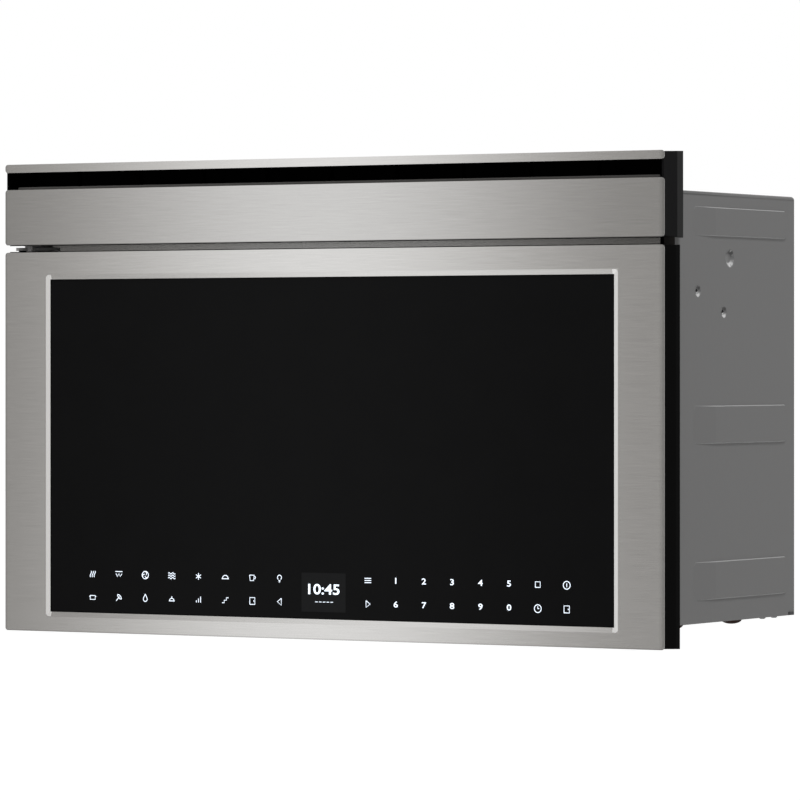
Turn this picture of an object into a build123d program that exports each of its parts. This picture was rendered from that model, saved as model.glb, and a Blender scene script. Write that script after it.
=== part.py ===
from build123d import *
import os
from math import cos, pi, radians, sin

# A built-in microwave and convection oven for a wall cabinet, in millimetres.
# X runs to the right as seen from the front, Y to the back, Z up. The origin is the middle of
# the top lip's rear face, which lands on the face of the cabinet, so the cabinet is at Y = 0.

# Outside
FRONT_W = 758.8  # steel faces, side to side (29 7/8 in)
SIDE_LAP = 18.7  # how far the front laps over the cabinet on each side
TOP_LIP = 35.8  # how far the head rises over the body
UNDERHANG = 20.2  # how far the door hangs under the body
BODY_H = 420.3
BODY_D = 279.9  # behind the cabinet's face
DOOR_T = 33.4
DOOR_CLEAR = 6.7  # closed door to the cabinet's face
DOOR_GAP = 7.5  # between the door and the head above it
PANEL_H = 56.5
SLOT_H = 17.6
TRIM_H = 8.4

# Skins and mouldings
CORNER_R = 3.0
SKIN = 0.8  # stainless skins
SKIN_TURN = 1.2  # depth of a skin's turned edge
PLASTIC = 2.4  # moulded walls
MOULD_IN = 1.0  # mouldings, inside the steel's outline at the front
MOULD_FLARE = 1.4  # how much wider they are at the rear, for the mould's draft
MOULD_EDGE = 1.0
SNUG = 0.1  # between pieces that are fixed together
AIR = 0.3  # between pieces that move past each other

# Casing
SHEET = 0.8
FRAME_T = 1.2
COLLAR_D = 18.5  # dark front frame, behind the cabinet's face
LIP_D = 12.0  # inner lip of the frame, inside the wrapper
FRAME_GAP = 2.5  # closed door to front frame
BEND_R = 4.0

# Oven cavity
SIDE_GAP = 21.0  # body side to cavity, on the hinge side
BAY_W = 198.4  # component bay to the right of the cavity
FLOOR_GAP = 81.8
ROOF_GAP = 88.5
REAR_GAP = 53.0
CAVITY_T = 1.0
CAVITY_R = 8.0
DISH_DEPTH = 4.0

# Window and glass
GLASS_SIDE = 54.5
GLASS_BASE = 20.1
GLASS_HEAD = 27.7
GLASS_T = 4.0
GLASS_LAP = 6.0
BEVEL_W = 5.0
BEVEL_D = 1.4
RIM_T = 1.6
RIM_W = 8.0
CHOKE_W = 20.0
CHOKE_D = 14.5
VIEW_INSET = 24.0
PANE_T = 3.0

# Hinge, latch and turning parts
PIN_R = 3.0
PIN_FIT = 0.05
PIN_LENGTH = 18.0
PIVOT_IN = 9.0  # hinge axis, from the door's left edge
PIVOT_BACK = 20.0  # hinge axis, behind the steel face
BRACKET_T = 3.0
LATCH_T = 3.0
LATCH_IN = 16.0  # latch, from the body's right side
HOOK_H = 8.0
HOOK_DROP = 4.0
HOOK_REACH = 22.0
HOOK_SPACING = 170.0
HOOK_SIDE = 1.0
HOOK_SWING = 1.4  # how far a hook drifts sideways as the door swings it out
LATCH_TRAVEL = 4.0
PLUNGER_R = 1.5
ROLLER_R = 7.5
ROLLER_W = 8.0
AXLE_R = 2.0
TURNTABLE_GAP = 6.0
TURNTABLE_T = 5.0
SHAFT_R = 3.5
SMALL_SHAFT_R = 2.5
WIRE_R = 2.6
CROSS_R = 1.6
IMPELLER_R = 55.0
COOLING_R = 50.0

# Planes worked out from the sizes above
HALF_W = FRONT_W / 2
BODY_W = FRONT_W - 2 * SIDE_LAP
BODY_HALF = BODY_W / 2
HEAD_D = DOOR_T + DOOR_CLEAR
FACE_Y = -HEAD_D
DOOR_BACK = FACE_Y + DOOR_T
DOOR_H = BODY_H + TOP_LIP + UNDERHANG - DOOR_GAP - PANEL_H - SLOT_H - TRIM_H
HEAD_TOP = TOP_LIP / 2
BODY_TOP = -TOP_LIP / 2
BODY_BASE = BODY_TOP - BODY_H
DOOR_BASE = BODY_BASE - UNDERHANG
DOOR_TOP = DOOR_BASE + DOOR_H
DOOR_MID = (DOOR_BASE + DOOR_TOP) / 2
PANEL_BASE = DOOR_TOP + DOOR_GAP
PANEL_TOP = PANEL_BASE + PANEL_H
TRIM_BASE = HEAD_TOP - TRIM_H
FRAME_FRONT = DOOR_BACK + FRAME_GAP
FRAME_BACK = FRAME_FRONT + FRAME_T
CAV_LEFT = -BODY_HALF + SIDE_GAP + CAVITY_T
CAV_RIGHT = BODY_HALF - BAY_W - CAVITY_T
CAV_FLOOR = BODY_BASE + FLOOR_GAP
CAV_ROOF = BODY_TOP - ROOF_GAP
CAV_BACK = BODY_D - REAR_GAP
CAV_W = CAV_RIGHT - CAV_LEFT
CAV_H = CAV_ROOF - CAV_FLOOR
CAV_D = CAV_BACK - FRAME_BACK
CAV_X = (CAV_LEFT + CAV_RIGHT) / 2
CAV_Y = (FRAME_BACK + CAV_BACK) / 2
CAV_Z = (CAV_FLOOR + CAV_ROOF) / 2
BAY_LEFT = CAV_RIGHT + CAVITY_T
PANEL_REAR = BODY_D - SHEET - SNUG
PANEL_FRONT = PANEL_REAR - SHEET
PIVOT_X = -HALF_W + PIVOT_IN
PIVOT_Y = FACE_Y + PIVOT_BACK
LATCH_X = BODY_HALF - LATCH_IN
HOOK_LOW = CAV_Z - HOOK_SPACING / 2
HOOK_HIGH = CAV_Z + HOOK_SPACING / 2
WIN_W = FRONT_W - 2 * GLASS_SIDE
WIN_H = DOOR_H - GLASS_BASE - GLASS_HEAD
WIN_BASE = DOOR_BASE + GLASS_BASE
WIN_Z = WIN_BASE + WIN_H / 2
GLASS_FRONT = FACE_Y + RIM_T
GLASS_BACK = GLASS_FRONT + GLASS_T
SKIN_BACK = FACE_Y + SKIN + SNUG
MOULD_FRONT = FACE_Y + SKIN_TURN + AIR
CLIP = 1.0  # overshoot of a cutting solid


def block(x0, x1, y0, y1, z0, z1):
    """A rectangular block between six faces."""
    middle = Pos((x0 + x1) / 2, (y0 + y1) / 2, (z0 + z1) / 2)
    return middle * Box(x1 - x0, y1 - y0, z1 - z0)


def centred(x, y, z, width, depth, height):
    """A rectangular block round its middle."""
    return Pos(x, y, z) * Box(width, depth, height)


def bar(radius, length, start, axis, sides=12):
    """A bar with flat sides from a point along +X, +Y or +Z."""
    turn = {"x": Rot(0, 90, 0), "y": Rot(-90, 0, 0), "z": Rot(0, 0, 0)}[axis]
    return Pos(*start) * turn * extrude(RegularPolygon(radius, sides), length)


def bore(radius, length, start, axis, sides=12):
    """A hole that clears a round bar of this radius."""
    return bar((radius + PIN_FIT) / cos(pi / sides), length, start, axis, sides)


def bent(points, radius, steps=2):
    """A wire's path through square corners, each turned in a few short straights."""
    path = [Vector(*points[0])]
    for before, corner, after in zip(points, points[1:], points[2:]):
        corner = Vector(*corner)
        back = (Vector(*before) - corner).normalized() * radius
        ahead = (Vector(*after) - corner).normalized() * radius
        centre = corner + back + ahead
        for step in range(steps + 1):
            turn = radians(90 * step / steps)
            path.append(centre - ahead * cos(turn) - back * sin(turn))
    path.append(Vector(*points[-1]))
    return Polyline(*path)


def slab(width, height, corner, x, z, y0, y1):
    """An upright plate with rounded corners, from y0 back to y1."""
    outline = RectangleRounded(width, height, corner) if corner > 0 else Rectangle(width, height)
    upright = Plane(origin=(x, y0, z), x_dir=(1, 0, 0), z_dir=(0, 1, 0))
    return extrude(upright * outline, y1 - y0)


def tray(width, height, z):
    """A drawn steel skin: a front face whose edge turns back all round."""
    outer = slab(width, height, CORNER_R, 0, z, FACE_Y, FACE_Y + SKIN_TURN)
    hollow = (width - 2 * SKIN, height - 2 * SKIN, CORNER_R - SKIN)
    return outer - slab(*hollow, 0, z, FACE_Y + SKIN, FACE_Y + SKIN_TURN)


def funnel(front, rear):
    """A solid between two upright rectangles, each given as (x0, x1, z0, z1, y)."""
    rings = []
    for x0, x1, z0, z1, y in (front, rear):
        rings.append([Vector(x0, y, z0), Vector(x1, y, z0), Vector(x1, y, z1), Vector(x0, y, z1)])
    near, far = rings
    sides = [[near[i], near[(i + 1) % 4], far[(i + 1) % 4], far[i]] for i in range(4)]
    skin = [Face(Wire.make_polygon(corners)) for corners in [near, far] + sides]
    return Solid(Shell(skin))


def pair(piece):
    """A piece and its mirror image on the other side."""
    return piece + mirror(piece, about=Plane.YZ)


# Wrapper: one sheet bent over the top and sides, with pressed ribs and dimples.
RIB_D = 1.4
RIB_H = 38.0
RIB_FEET = (22.0, 174.0)  # lower ribs, above the base
TOP_RIB_H = 29.0
TOP_RIB_DOWN = 14.5
RIB_FRONT = 58.0
RIB_BACK = 18.9  # from the rear
RIB_RAMP = 45.0
RIB_CORNER = 4.0
RIB_SLOPE = 30.0
RIB_WALL = 1.2
DIMPLE_SLOPE = 56.0
DIMPLE = (9.3, 2.6)  # mouth radius, depth
DIMPLE_AT = (136.4, 64.0)  # back from the cabinet's face, down from the top
FIXING = (6.0, 1.8)
FIXING_HOLE_R = 2.4
FIXINGS_AT = ((67.4, 97.2), (123.4, 117.1))
REAR_TURN = 13.0


def side_rib(z0, height, outset, grow, inside):
    """A plateau pressed out of the right side from an inner plane, which fades in at the front."""
    y1 = BODY_D - RIB_BACK
    middle = (inside, (RIB_FRONT + y1) / 2, z0 + height / 2)
    side = Plane(origin=middle, x_dir=(0, 1, 0), z_dir=(1, 0, 0))
    outline = Rectangle(y1 - RIB_FRONT + 2 * grow, height + 2 * grow)
    top = BODY_HALF + outset
    raised = extrude(side * chamfer(outline.vertices(), RIB_CORNER), top - inside, taper=RIB_SLOPE)
    ramp = Polyline(
        (inside, RIB_FRONT - CLIP),
        (top - RIB_D, RIB_FRONT - CLIP),
        (top, RIB_FRONT + RIB_RAMP),
        (top, BODY_D),
        (inside, BODY_D),
        close=True,
    )
    return raised & extrude(Plane.XY.offset(z0 - RIB_CORNER) * make_face(ramp), height + 2 * RIB_CORNER)


def dimple(y, z, radius, depth, x):
    """A shallow round hollow sunk into the right side, with a sloping wall."""
    mouth = Plane(origin=(x, y, z), x_dir=(0, 1, 0), z_dir=(-1, 0, 0)) * RegularPolygon(radius, 8)
    return extrude(mouth, depth, taper=DIMPLE_SLOPE)


def wrapper():
    body = block(-BODY_HALF, BODY_HALF, COLLAR_D, BODY_D, BODY_BASE, BODY_TOP)
    body = fillet(body.edges().filter_by(Axis.Y).group_by(Axis.Z)[-1], BEND_R)
    inner = BODY_HALF - SHEET
    hollow = block(-inner, inner, COLLAR_D - CLIP, BODY_D - SHEET, BODY_BASE - CLIP, BODY_TOP - SHEET)
    body -= fillet(hollow.edges().filter_by(Axis.Y).group_by(Axis.Z)[-1], BEND_R - SHEET)
    opening = BODY_HALF - REAR_TURN
    body -= block(-opening, opening, BODY_D - REAR_TURN, BODY_D + CLIP, BODY_BASE - CLIP, BODY_TOP - REAR_TURN)
    ribs = [(BODY_BASE + foot, RIB_H) for foot in RIB_FEET]
    ribs.append((BODY_TOP - TOP_RIB_DOWN - TOP_RIB_H, TOP_RIB_H))
    for z0, height in ribs:
        body += pair(side_rib(z0, height, RIB_D, 0, BODY_HALF - SHEET))
        body -= pair(side_rib(z0, height, RIB_D - SHEET, -RIB_WALL, BODY_HALF - 2 * SHEET))
    for (y, down), (radius, depth) in ((DIMPLE_AT, DIMPLE), *((place, FIXING) for place in FIXINGS_AT)):
        z = BODY_TOP - down
        body += pair(dimple(y, z, radius + SHEET, depth, BODY_HALF - SHEET))
        body -= pair(dimple(y, z, radius, depth, BODY_HALF))
    for y, down in FIXINGS_AT:
        middle = Pos(BODY_HALF - FIXING[1], y, BODY_TOP - down)
        body -= pair(middle * Rot(0, 90, 0) * Cylinder(FIXING_HOLE_R, 2 * FIXING[0]))
    return body


# Rear panel: a flat sheet behind the wrapper's turned edge, with louvres and the gland's hole.
LOUVRE_W = 44.0
LOUVRE_H = 3.6
LOUVRE_ROWS = 4
LOUVRE_RISE = 11.0
LOUVRE_STEP = 52.0
LOUVRE_UP = 60.0  # lowest row above the base
GLAND_R = 8.0
GLAND_IN = 46.0  # from the right side and from the top
GLAND_X = BODY_HALF - GLAND_IN
GLAND_Z = BODY_TOP - GLAND_IN
GLAND_NOSE = 9.0
GLAND_TAIL = 3.0
FLANGE_T = 2.5


def rear_panel():
    half = BODY_HALF - BEND_R
    plate = block(-half, half, PANEL_FRONT, PANEL_REAR, BODY_BASE + 2, BODY_TOP - BEND_R)
    for middle in (CAV_LEFT + 96, BAY_LEFT + BAY_W / 2):
        for side in (-LOUVRE_STEP / 2, LOUVRE_STEP / 2):
            for row in range(LOUVRE_ROWS):
                z = BODY_BASE + LOUVRE_UP + row * LOUVRE_RISE
                plate -= centred(middle + side, PANEL_REAR, z, LOUVRE_W, 4 * SHEET, LOUVRE_H)
    return plate - bar(GLAND_R + SNUG, 4 * SHEET, (GLAND_X, PANEL_FRONT - SHEET, GLAND_Z), "y", 8)


def inlet_gland():
    """A bush through the rear panel with a flange on each side and a bore for the lead."""
    y0 = PANEL_FRONT - GLAND_NOSE
    length = GLAND_NOSE + SHEET + GLAND_TAIL
    body = bar(GLAND_R, length, (GLAND_X, y0, GLAND_Z), "y", 8)
    body += bar(GLAND_R + 3, FLANGE_T, (GLAND_X, PANEL_REAR, GLAND_Z), "y", 8)
    body += bar(GLAND_R + 3, FLANGE_T, (GLAND_X, PANEL_FRONT - FLANGE_T, GLAND_Z), "y", 8)
    return body - bar(GLAND_R / 2, length + 2 * CLIP, (GLAND_X, y0 - CLIP, GLAND_Z), "y", 8)


# Base plate: a shallow tray between the wrapper's sides, with slots under the bay.
BASE_TURN = 12.0
BASE_T = 1.0
BASE_SLOT_W = 40.0
BASE_SLOT_D = 5.0
BASE_SLOT_PITCH = (52.0, 12.0)
FOOT_R = 10.5
FOOT_H = 5.4
FOOT_IN = 22.0
FOOT_YS = (56.0, BODY_D - 96.9)


def base_plate():
    side = BODY_HALF - SHEET - SNUG
    inner = side - BASE_T
    y0 = FRAME_BACK + SNUG
    y1 = PANEL_FRONT - SNUG
    lip_back = COLLAR_D + LIP_D + SNUG
    over_lip = FRAME_T + BASE_T + SNUG
    under = BODY_BASE - CLIP
    plate = block(-side, side, y0, y1, BODY_BASE, BODY_BASE + BASE_TURN)
    plate = fillet(plate.edges().filter_by(Axis.Z).group_by(Axis.Y)[-1], BEND_R)
    plate -= block(-inner, inner, y0 - CLIP, y1 - BASE_T, BODY_BASE + BASE_T, BODY_BASE + 2 * BASE_TURN)
    wide = BODY_HALF - over_lip
    plate -= pair(block(wide, BODY_HALF, y0 - CLIP, lip_back, under, BODY_BASE + 2 * BASE_TURN))
    plate -= block(-side, side, y0 - CLIP, lip_back, under, BODY_BASE + over_lip)
    raised = BODY_BASE + over_lip
    plate += block(-wide, wide, y0, lip_back + SNUG, raised, raised + BASE_T)
    plate += block(-wide, wide, lip_back, lip_back + BASE_T, BODY_BASE, raised + BASE_T)
    across, back = BASE_SLOT_PITCH
    for column in range(3):
        for row in range(4):
            x = BAY_LEFT + BASE_SLOT_W + column * across
            y = lip_back + 2 * back + row * back
            plate -= centred(x, y, BODY_BASE, BASE_SLOT_W, BASE_SLOT_D, 4 * BASE_T)
    return plate


def feet():
    """Four low domed feet under the base."""
    group = []
    for x in (-BODY_HALF + FOOT_IN, BODY_HALF - FOOT_IN):
        for y in FOOT_YS:
            foot = bar(FOOT_R, FOOT_H, (x, y, BODY_BASE - FOOT_H), "z", 8)
            group.append(chamfer(foot.faces().sort_by(Axis.Z)[0].edges(), FOOT_H * 0.7))
    return Compound(children=group)


# Front frame: the dark steel frame that the door closes on, turned back all round.
VENT_W = 54.0
VENT_H = 26.0
VENT_PITCH = 66.0
VENT_COUNT = int((BODY_W - 30) / VENT_PITCH)
VENT_Z = BODY_TOP - 23.0
LOW_BRACKET_Z = BODY_BASE + 6.0
HIGH_BRACKET_Z = DOOR_TOP + (DOOR_GAP - BRACKET_T) / 2
BRACKET_X0 = PIVOT_X + 13.0
BRACKET_X1 = PIVOT_X + 33.0
NOSE_R = 8.0


def hook_slot(z, y0, y1):
    """The way that a hook takes through a wall."""
    x0 = LATCH_X - LATCH_T / 2 - HOOK_SIDE
    x1 = LATCH_X + LATCH_T / 2 + HOOK_SIDE + HOOK_SWING
    return block(x0, x1, y0, y1, z - HOOK_DROP - 2 * AIR, z + HOOK_H + LATCH_TRAVEL + 2 * AIR)


def vents(y0, y1):
    """The row of air openings behind the head."""
    places = [(index - (VENT_COUNT - 1) / 2) * VENT_PITCH for index in range(VENT_COUNT)]
    return [slab(VENT_W, VENT_H, 0, x, VENT_Z, y0, y1) for x in places]


def casing_block(inset, y0, y1):
    """A block inside the body's outline."""
    x, z0, z1 = BODY_HALF - inset, BODY_BASE + inset, BODY_TOP - inset
    return block(-x, x, y0, y1, z0, z1)


def front_frame():
    frame = casing_block(0, FRAME_FRONT, COLLAR_D)
    frame = fillet(frame.edges().filter_by(Axis.Y), BEND_R)
    frame -= casing_block(FRAME_T, FRAME_BACK, COLLAR_D + CLIP)
    lip_in = SHEET + SNUG
    lip = casing_block(lip_in, COLLAR_D - 3, COLLAR_D + LIP_D)
    lip = chamfer(lip.edges().filter_by(Axis.Y), BEND_R * 0.7)
    frame += lip - casing_block(lip_in + 1, COLLAR_D - 4, COLLAR_D + LIP_D + CLIP)
    before, behind = FRAME_FRONT - CLIP, FRAME_BACK + CLIP
    frame -= slab(CAV_W, CAV_H, CAVITY_R, CAV_X, CAV_Z, before, behind)
    for cut in vents(before, behind):
        frame -= cut
    for z in (HOOK_LOW, HOOK_HIGH):
        frame -= hook_slot(z, before, behind)
    for z in (LOW_BRACKET_Z, HIGH_BRACKET_Z):
        top = z + BRACKET_T + SNUG
        frame -= block(BRACKET_X0 - SNUG, BRACKET_X1 + SNUG, before, behind, z - SNUG, top)
    return frame


def hinge_bracket(z, turn_z0, turn_z1):
    """A plate that carries the pin, through the frame and turned against its back."""
    nose = Pos(PIVOT_X, PIVOT_Y) * RegularPolygon(NOSE_R, 12)
    root = Pos((BRACKET_X0 + BRACKET_X1) / 2, FRAME_FRONT - 1) * Rectangle(BRACKET_X1 - BRACKET_X0, 2)
    arm = extrude(Plane.XY.offset(z) * make_hull(nose.edges() + root.edges()), BRACKET_T)
    behind = FRAME_BACK + BRACKET_T
    arm += block(BRACKET_X0, BRACKET_X1, FRAME_FRONT - 1, behind, z, z + BRACKET_T)
    return arm + block(BRACKET_X0, BRACKET_X1, FRAME_BACK, behind, turn_z0, turn_z1)


def hinge_brackets():
    """Two brackets on the front frame, each with its pin pressed in."""
    low, high = LOW_BRACKET_Z, HIGH_BRACKET_Z
    high_top = high + BRACKET_T
    lower = hinge_bracket(low, low, low + 22) + bar(PIN_R, PIN_LENGTH, (PIVOT_X, PIVOT_Y, low), "z", 16)
    upper = hinge_bracket(high, high_top - 22, high_top)
    upper += bar(PIN_R, PIN_LENGTH, (PIVOT_X, PIVOT_Y, high_top - PIN_LENGTH), "z", 16)
    return Compound(children=[lower, upper])


# Head: a black moulded housing with end caps, a steel panel, an air slot and a steel trim strip.
HEAD_REAR = FRAME_FRONT - AIR
SILL_D = 12.0
CAP_X = HALF_W - MOULD_IN - PLASTIC  # inner face of an end cap


def head_cap():
    """The right end cap, which widens to the rear and closes against the cabinet."""
    x1, z0, z1 = HALF_W - MOULD_IN, PANEL_BASE + MOULD_IN, HEAD_TOP - MOULD_IN
    flare = MOULD_FLARE
    cap = funnel((CAP_X, x1, z0, z1, MOULD_FRONT), (CAP_X, x1 + flare, z0 - flare, z1 + flare, 0))
    outer_edges = cap.faces().sort_by(Axis.Y)[-1].edges().sort_by(Axis.X)[1:]
    cap = chamfer(outer_edges, MOULD_EDGE)
    tongue = CAP_X + 1
    cap += block(CAP_X, tongue, SKIN_BACK, MOULD_FRONT + CLIP, PANEL_BASE + MOULD_IN, PANEL_TOP - MOULD_IN)
    cap += block(CAP_X, tongue, SKIN_BACK, MOULD_FRONT + CLIP, TRIM_BASE + MOULD_IN, HEAD_TOP - MOULD_IN)
    beside = BODY_HALF + 2 * AIR
    over = BODY_TOP + 2 * AIR
    back = HEAD_REAR - PLASTIC
    cap += block(beside, CAP_X, -PLASTIC, 0, z0, over)
    cap += block(beside, beside + PLASTIC, back, -PLASTIC, z0, over)
    return cap + block(beside, CAP_X, back - 20, -PLASTIC, z0, z0 + PLASTIC)


def head_housing():
    z0, z1 = PANEL_BASE + MOULD_IN, HEAD_TOP - MOULD_IN
    over = BODY_TOP + 2 * AIR
    beside = BODY_HALF + 2 * AIR
    back = HEAD_REAR - PLASTIC
    sill_top = PANEL_TOP - MOULD_IN
    body = block(-CAP_X, CAP_X, SKIN_BACK, HEAD_REAR, z0, z0 + PLASTIC)
    body += block(-CAP_X, CAP_X, SKIN_BACK, 0, z1 - PLASTIC, z1)
    body += block(-CAP_X, CAP_X, -PLASTIC, 0, over, z1)
    body += block(-CAP_X, CAP_X, back, 0, over, over + PLASTIC)
    body += block(-beside, beside, back, HEAD_REAR, z0, over + PLASTIC)
    body += block(-CAP_X, CAP_X, SKIN_BACK, SKIN_BACK + SILL_D, sill_top - PLASTIC, sill_top)
    for cut in vents(back - CLIP, HEAD_REAR + CLIP):
        body -= cut
    return body + pair(head_cap())


VANE_PITCH = 75.0
VANE_T = 1.4
VANE_D = 7.0
RAIL_T = 2.2


def vent_grille():
    """Upright vanes in the air slot, tied by a rail at the foot and the head."""
    y0 = SKIN_BACK + SILL_D + SNUG
    y1 = y0 + VANE_D + 2
    z0 = PANEL_TOP - MOULD_IN - PLASTIC
    z1 = HEAD_TOP - MOULD_IN - PLASTIC - SNUG
    half = CAP_X - SNUG
    grille = block(-half, half, y0, y1, z0, z0 + RAIL_T)
    grille += block(-half, half, y0 + 3, y1, z1 - RAIL_T, z1)
    count = int(2 * half / VANE_PITCH)
    for index in range(count + 1):
        x = (index - count / 2) * VANE_PITCH
        grille += block(x - VANE_T / 2, x + VANE_T / 2, y0 + 1, y0 + 1 + VANE_D, z0 + 1, z1 - 1)
    return grille


def head_panel():
    return tray(FRONT_W, PANEL_H, PANEL_BASE + PANEL_H / 2)


def head_trim():
    return tray(FRONT_W, TRIM_H, TRIM_BASE + TRIM_H / 2)


# Casing screws: pan heads round the rear panel and under the base.
SCREW_R = 3.6
REAR_SCREW_H = 1.8
BASE_SCREW_H = 2.4
BASE_SCREW_IN = 10.5
BASE_SCREWS_BACK = (50.9, 24.9)  # from the rear
SCREW_END = 40.0  # rear screws, from the corners


def casing_screws():
    group = []
    turn_middle = REAR_TURN / 2
    for x in (-BODY_HALF + turn_middle, BODY_HALF - turn_middle):
        for z in (BODY_BASE + SCREW_END, (BODY_BASE + BODY_TOP) / 2, BODY_TOP - SCREW_END):
            group.append(bar(SCREW_R, REAR_SCREW_H, (x, BODY_D, z), "y", 6))
    for x in (-BODY_W / 4, BODY_W / 4):
        group.append(bar(SCREW_R, REAR_SCREW_H, (x, BODY_D, BODY_TOP - turn_middle), "y", 6))
    for x in (-BODY_HALF + BASE_SCREW_IN, BODY_HALF - BASE_SCREW_IN):
        for back in BASE_SCREWS_BACK:
            start = (x, BODY_D - back, BODY_BASE - BASE_SCREW_H)
            group.append(bar(SCREW_R, BASE_SCREW_H, start, "z", 6))
    return Compound(children=group)


# Oven cavity: a welded box, with a dished floor for the turntable.
PORT_D = 84.0  # microwave port in the right wall, along Y and Z
PORT_H = 38.0
FAN_PORT_R = 74.0
LAMP_R = 14.0
LAMP_X = CAV_RIGHT - 60.0
LAMP_Y = CAV_BACK - 54.0
JACK_R = 5.5
JACK_AHEAD = 5.45  # ahead of midway between the front frame and the waveguide
JACK_Z = CAV_ROOF - 40.0
REACH = min(CAV_W, CAV_D) / 2
DISH_R = REACH - 2.5
DISH_Z = CAV_FLOOR - DISH_DEPTH
HUB_HOLE_R = 9.0

# Places in the bay, from the rear forwards
FAN_MOTOR_D = 34.0
SHROUD_D = 22.0
DUCT_D = 40.0
MAGNETRON_D = 90.0
MAGNETRON_H = 80.0
MAGNETRON_W = 96.0
YOKE_W = 66.0
GUIDE_W = 40.0
FAN_REAR = BODY_D - 18.0
SHROUD_BACK = FAN_REAR - FAN_MOTOR_D
SHROUD_FRONT = SHROUD_BACK - SHROUD_D
MAG_BACK = SHROUD_FRONT - DUCT_D
MAG_FRONT = MAG_BACK - MAGNETRON_D
MAG_Y = (MAG_FRONT + MAG_BACK) / 2
MAG_Z = CAV_ROOF - 65.0
JACK_Y = (FRAME_BACK + MAG_FRONT) / 2 - JACK_AHEAD
GUIDE_X = BAY_LEFT + SNUG
MAG_X = GUIDE_X + GUIDE_W
FAN_X = MAG_X + MAGNETRON_W / 2

# The grill's bends, which pass through the roof
GRILL_R = 3.2
GRILL_BEND = 12.0
GRILL_DROP = 16.0
GRILL_RUNS = 4
GRILL_PITCH = 52.0
GRILL_FRONT = FRAME_BACK + 40.0
GRILL_BACK = CAV_BACK - 40.0
GRILL_X0 = CAV_X - GRILL_PITCH * (GRILL_RUNS - 1) / 2
GRILL_X1 = CAV_X + GRILL_PITCH * (GRILL_RUNS - 1) / 2
GRILL_TOP = CAV_ROOF + 22.0


def port(x0, x1, border):
    """The microwave port's opening, or a sheet over it with a border."""
    y, z = PORT_D / 2 + border, PORT_H / 2 + border
    return block(x0, x1, MAG_Y - y, MAG_Y + y, CAV_Z - z, CAV_Z + z)


def oven_cavity():
    t = CAVITY_T
    outer = block(CAV_LEFT - t, CAV_RIGHT + t, FRAME_BACK, CAV_BACK + t, CAV_FLOOR - t, CAV_ROOF + t)
    outer = fillet(outer.edges().filter_by(Axis.Y), CAVITY_R + t)
    outer += bar(DISH_R + t, DISH_DEPTH + t, (CAV_X, CAV_Y, DISH_Z - t), "z", 24)
    inner = block(CAV_LEFT, CAV_RIGHT, FRAME_BACK - CLIP, CAV_BACK, CAV_FLOOR, CAV_ROOF)
    cavity = outer - fillet(inner.edges().filter_by(Axis.Y), CAVITY_R)
    through = 4 * t
    cavity -= bar(DISH_R, DISH_DEPTH + CLIP, (CAV_X, CAV_Y, DISH_Z), "z", 24)
    cavity -= bar(HUB_HOLE_R, through, (CAV_X, CAV_Y, DISH_Z - 2 * t), "z")
    cavity -= port(CAV_RIGHT - t, BAY_LEFT + t, 0)
    cavity -= bar(FAN_PORT_R, through, (CAV_X, CAV_BACK - t, CAV_Z), "y")
    cavity -= bar(LAMP_R, through, (LAMP_X, LAMP_Y, CAV_ROOF - t), "z")
    cavity -= bar(JACK_R + SNUG, through, (CAV_RIGHT - t, JACK_Y, JACK_Z), "x", 8)
    for x in (GRILL_X0, GRILL_X1):
        cavity -= bar(GRILL_R + 1, through, (x, GRILL_BACK, CAV_ROOF - t), "z", 8)
    return cavity


# Grill element: a sheathed heater under the roof, bent in a long W, with its ends through the roof.
def grill_element():
    z = CAV_ROOF - GRILL_DROP
    points = [(GRILL_X0, GRILL_BACK, GRILL_TOP), (GRILL_X0, GRILL_BACK, z)]
    turns = (GRILL_FRONT, GRILL_BACK - 2 * GRILL_BEND)
    for run in range(GRILL_RUNS - 1):
        x = GRILL_X0 + run * GRILL_PITCH
        points.append((x, turns[run % 2], z))
        points.append((x + GRILL_PITCH, turns[run % 2], z))
    points += [(GRILL_X1, GRILL_BACK, z), (GRILL_X1, GRILL_BACK, GRILL_TOP)]
    section = Plane(origin=points[0], z_dir=(0, 0, -1)) * RegularPolygon(GRILL_R, 6)
    return sweep(section, path=bent(points, GRILL_BEND), transition=Transition.RIGHT)


# Rack supports and rack: four moulded hooks on the side walls, and a loose wire rack on them.
RACK_Z = CAV_FLOOR + 0.58 * CAV_H
RACK_IN = 11.0
RACK_END = 14.0
RACK_CORNER = 9.0
RACK_WIRES = 8
LEDGE_W = 22.0
LEDGE_T = 5.0
SUPPORT_T = 3.0
SUPPORT_Y0 = FRAME_BACK + 52.0
SUPPORT_Y1 = CAV_BACK - 46.0


def rack_support(y):
    """A hook on the right wall: a plate, a ledge and the ledge's raised end."""
    seat = RACK_Z - WIRE_R - AIR
    wall = CAV_RIGHT
    tip = wall - LEDGE_W
    hook = block(wall - SUPPORT_T, wall, y - 9, y + 9, seat - 14, seat + 8)
    hook += block(tip, wall, y - 9, y + 9, seat - LEDGE_T, seat)
    return hook + block(tip, tip + SUPPORT_T, y - 9, y + 9, seat - 1, seat + LEDGE_T)


def rack_supports():
    middle = Plane.YZ.offset(CAV_X)
    right = [rack_support(SUPPORT_Y0), rack_support(SUPPORT_Y1)]
    return Compound(children=right + [mirror(hook, about=middle) for hook in right])


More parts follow.
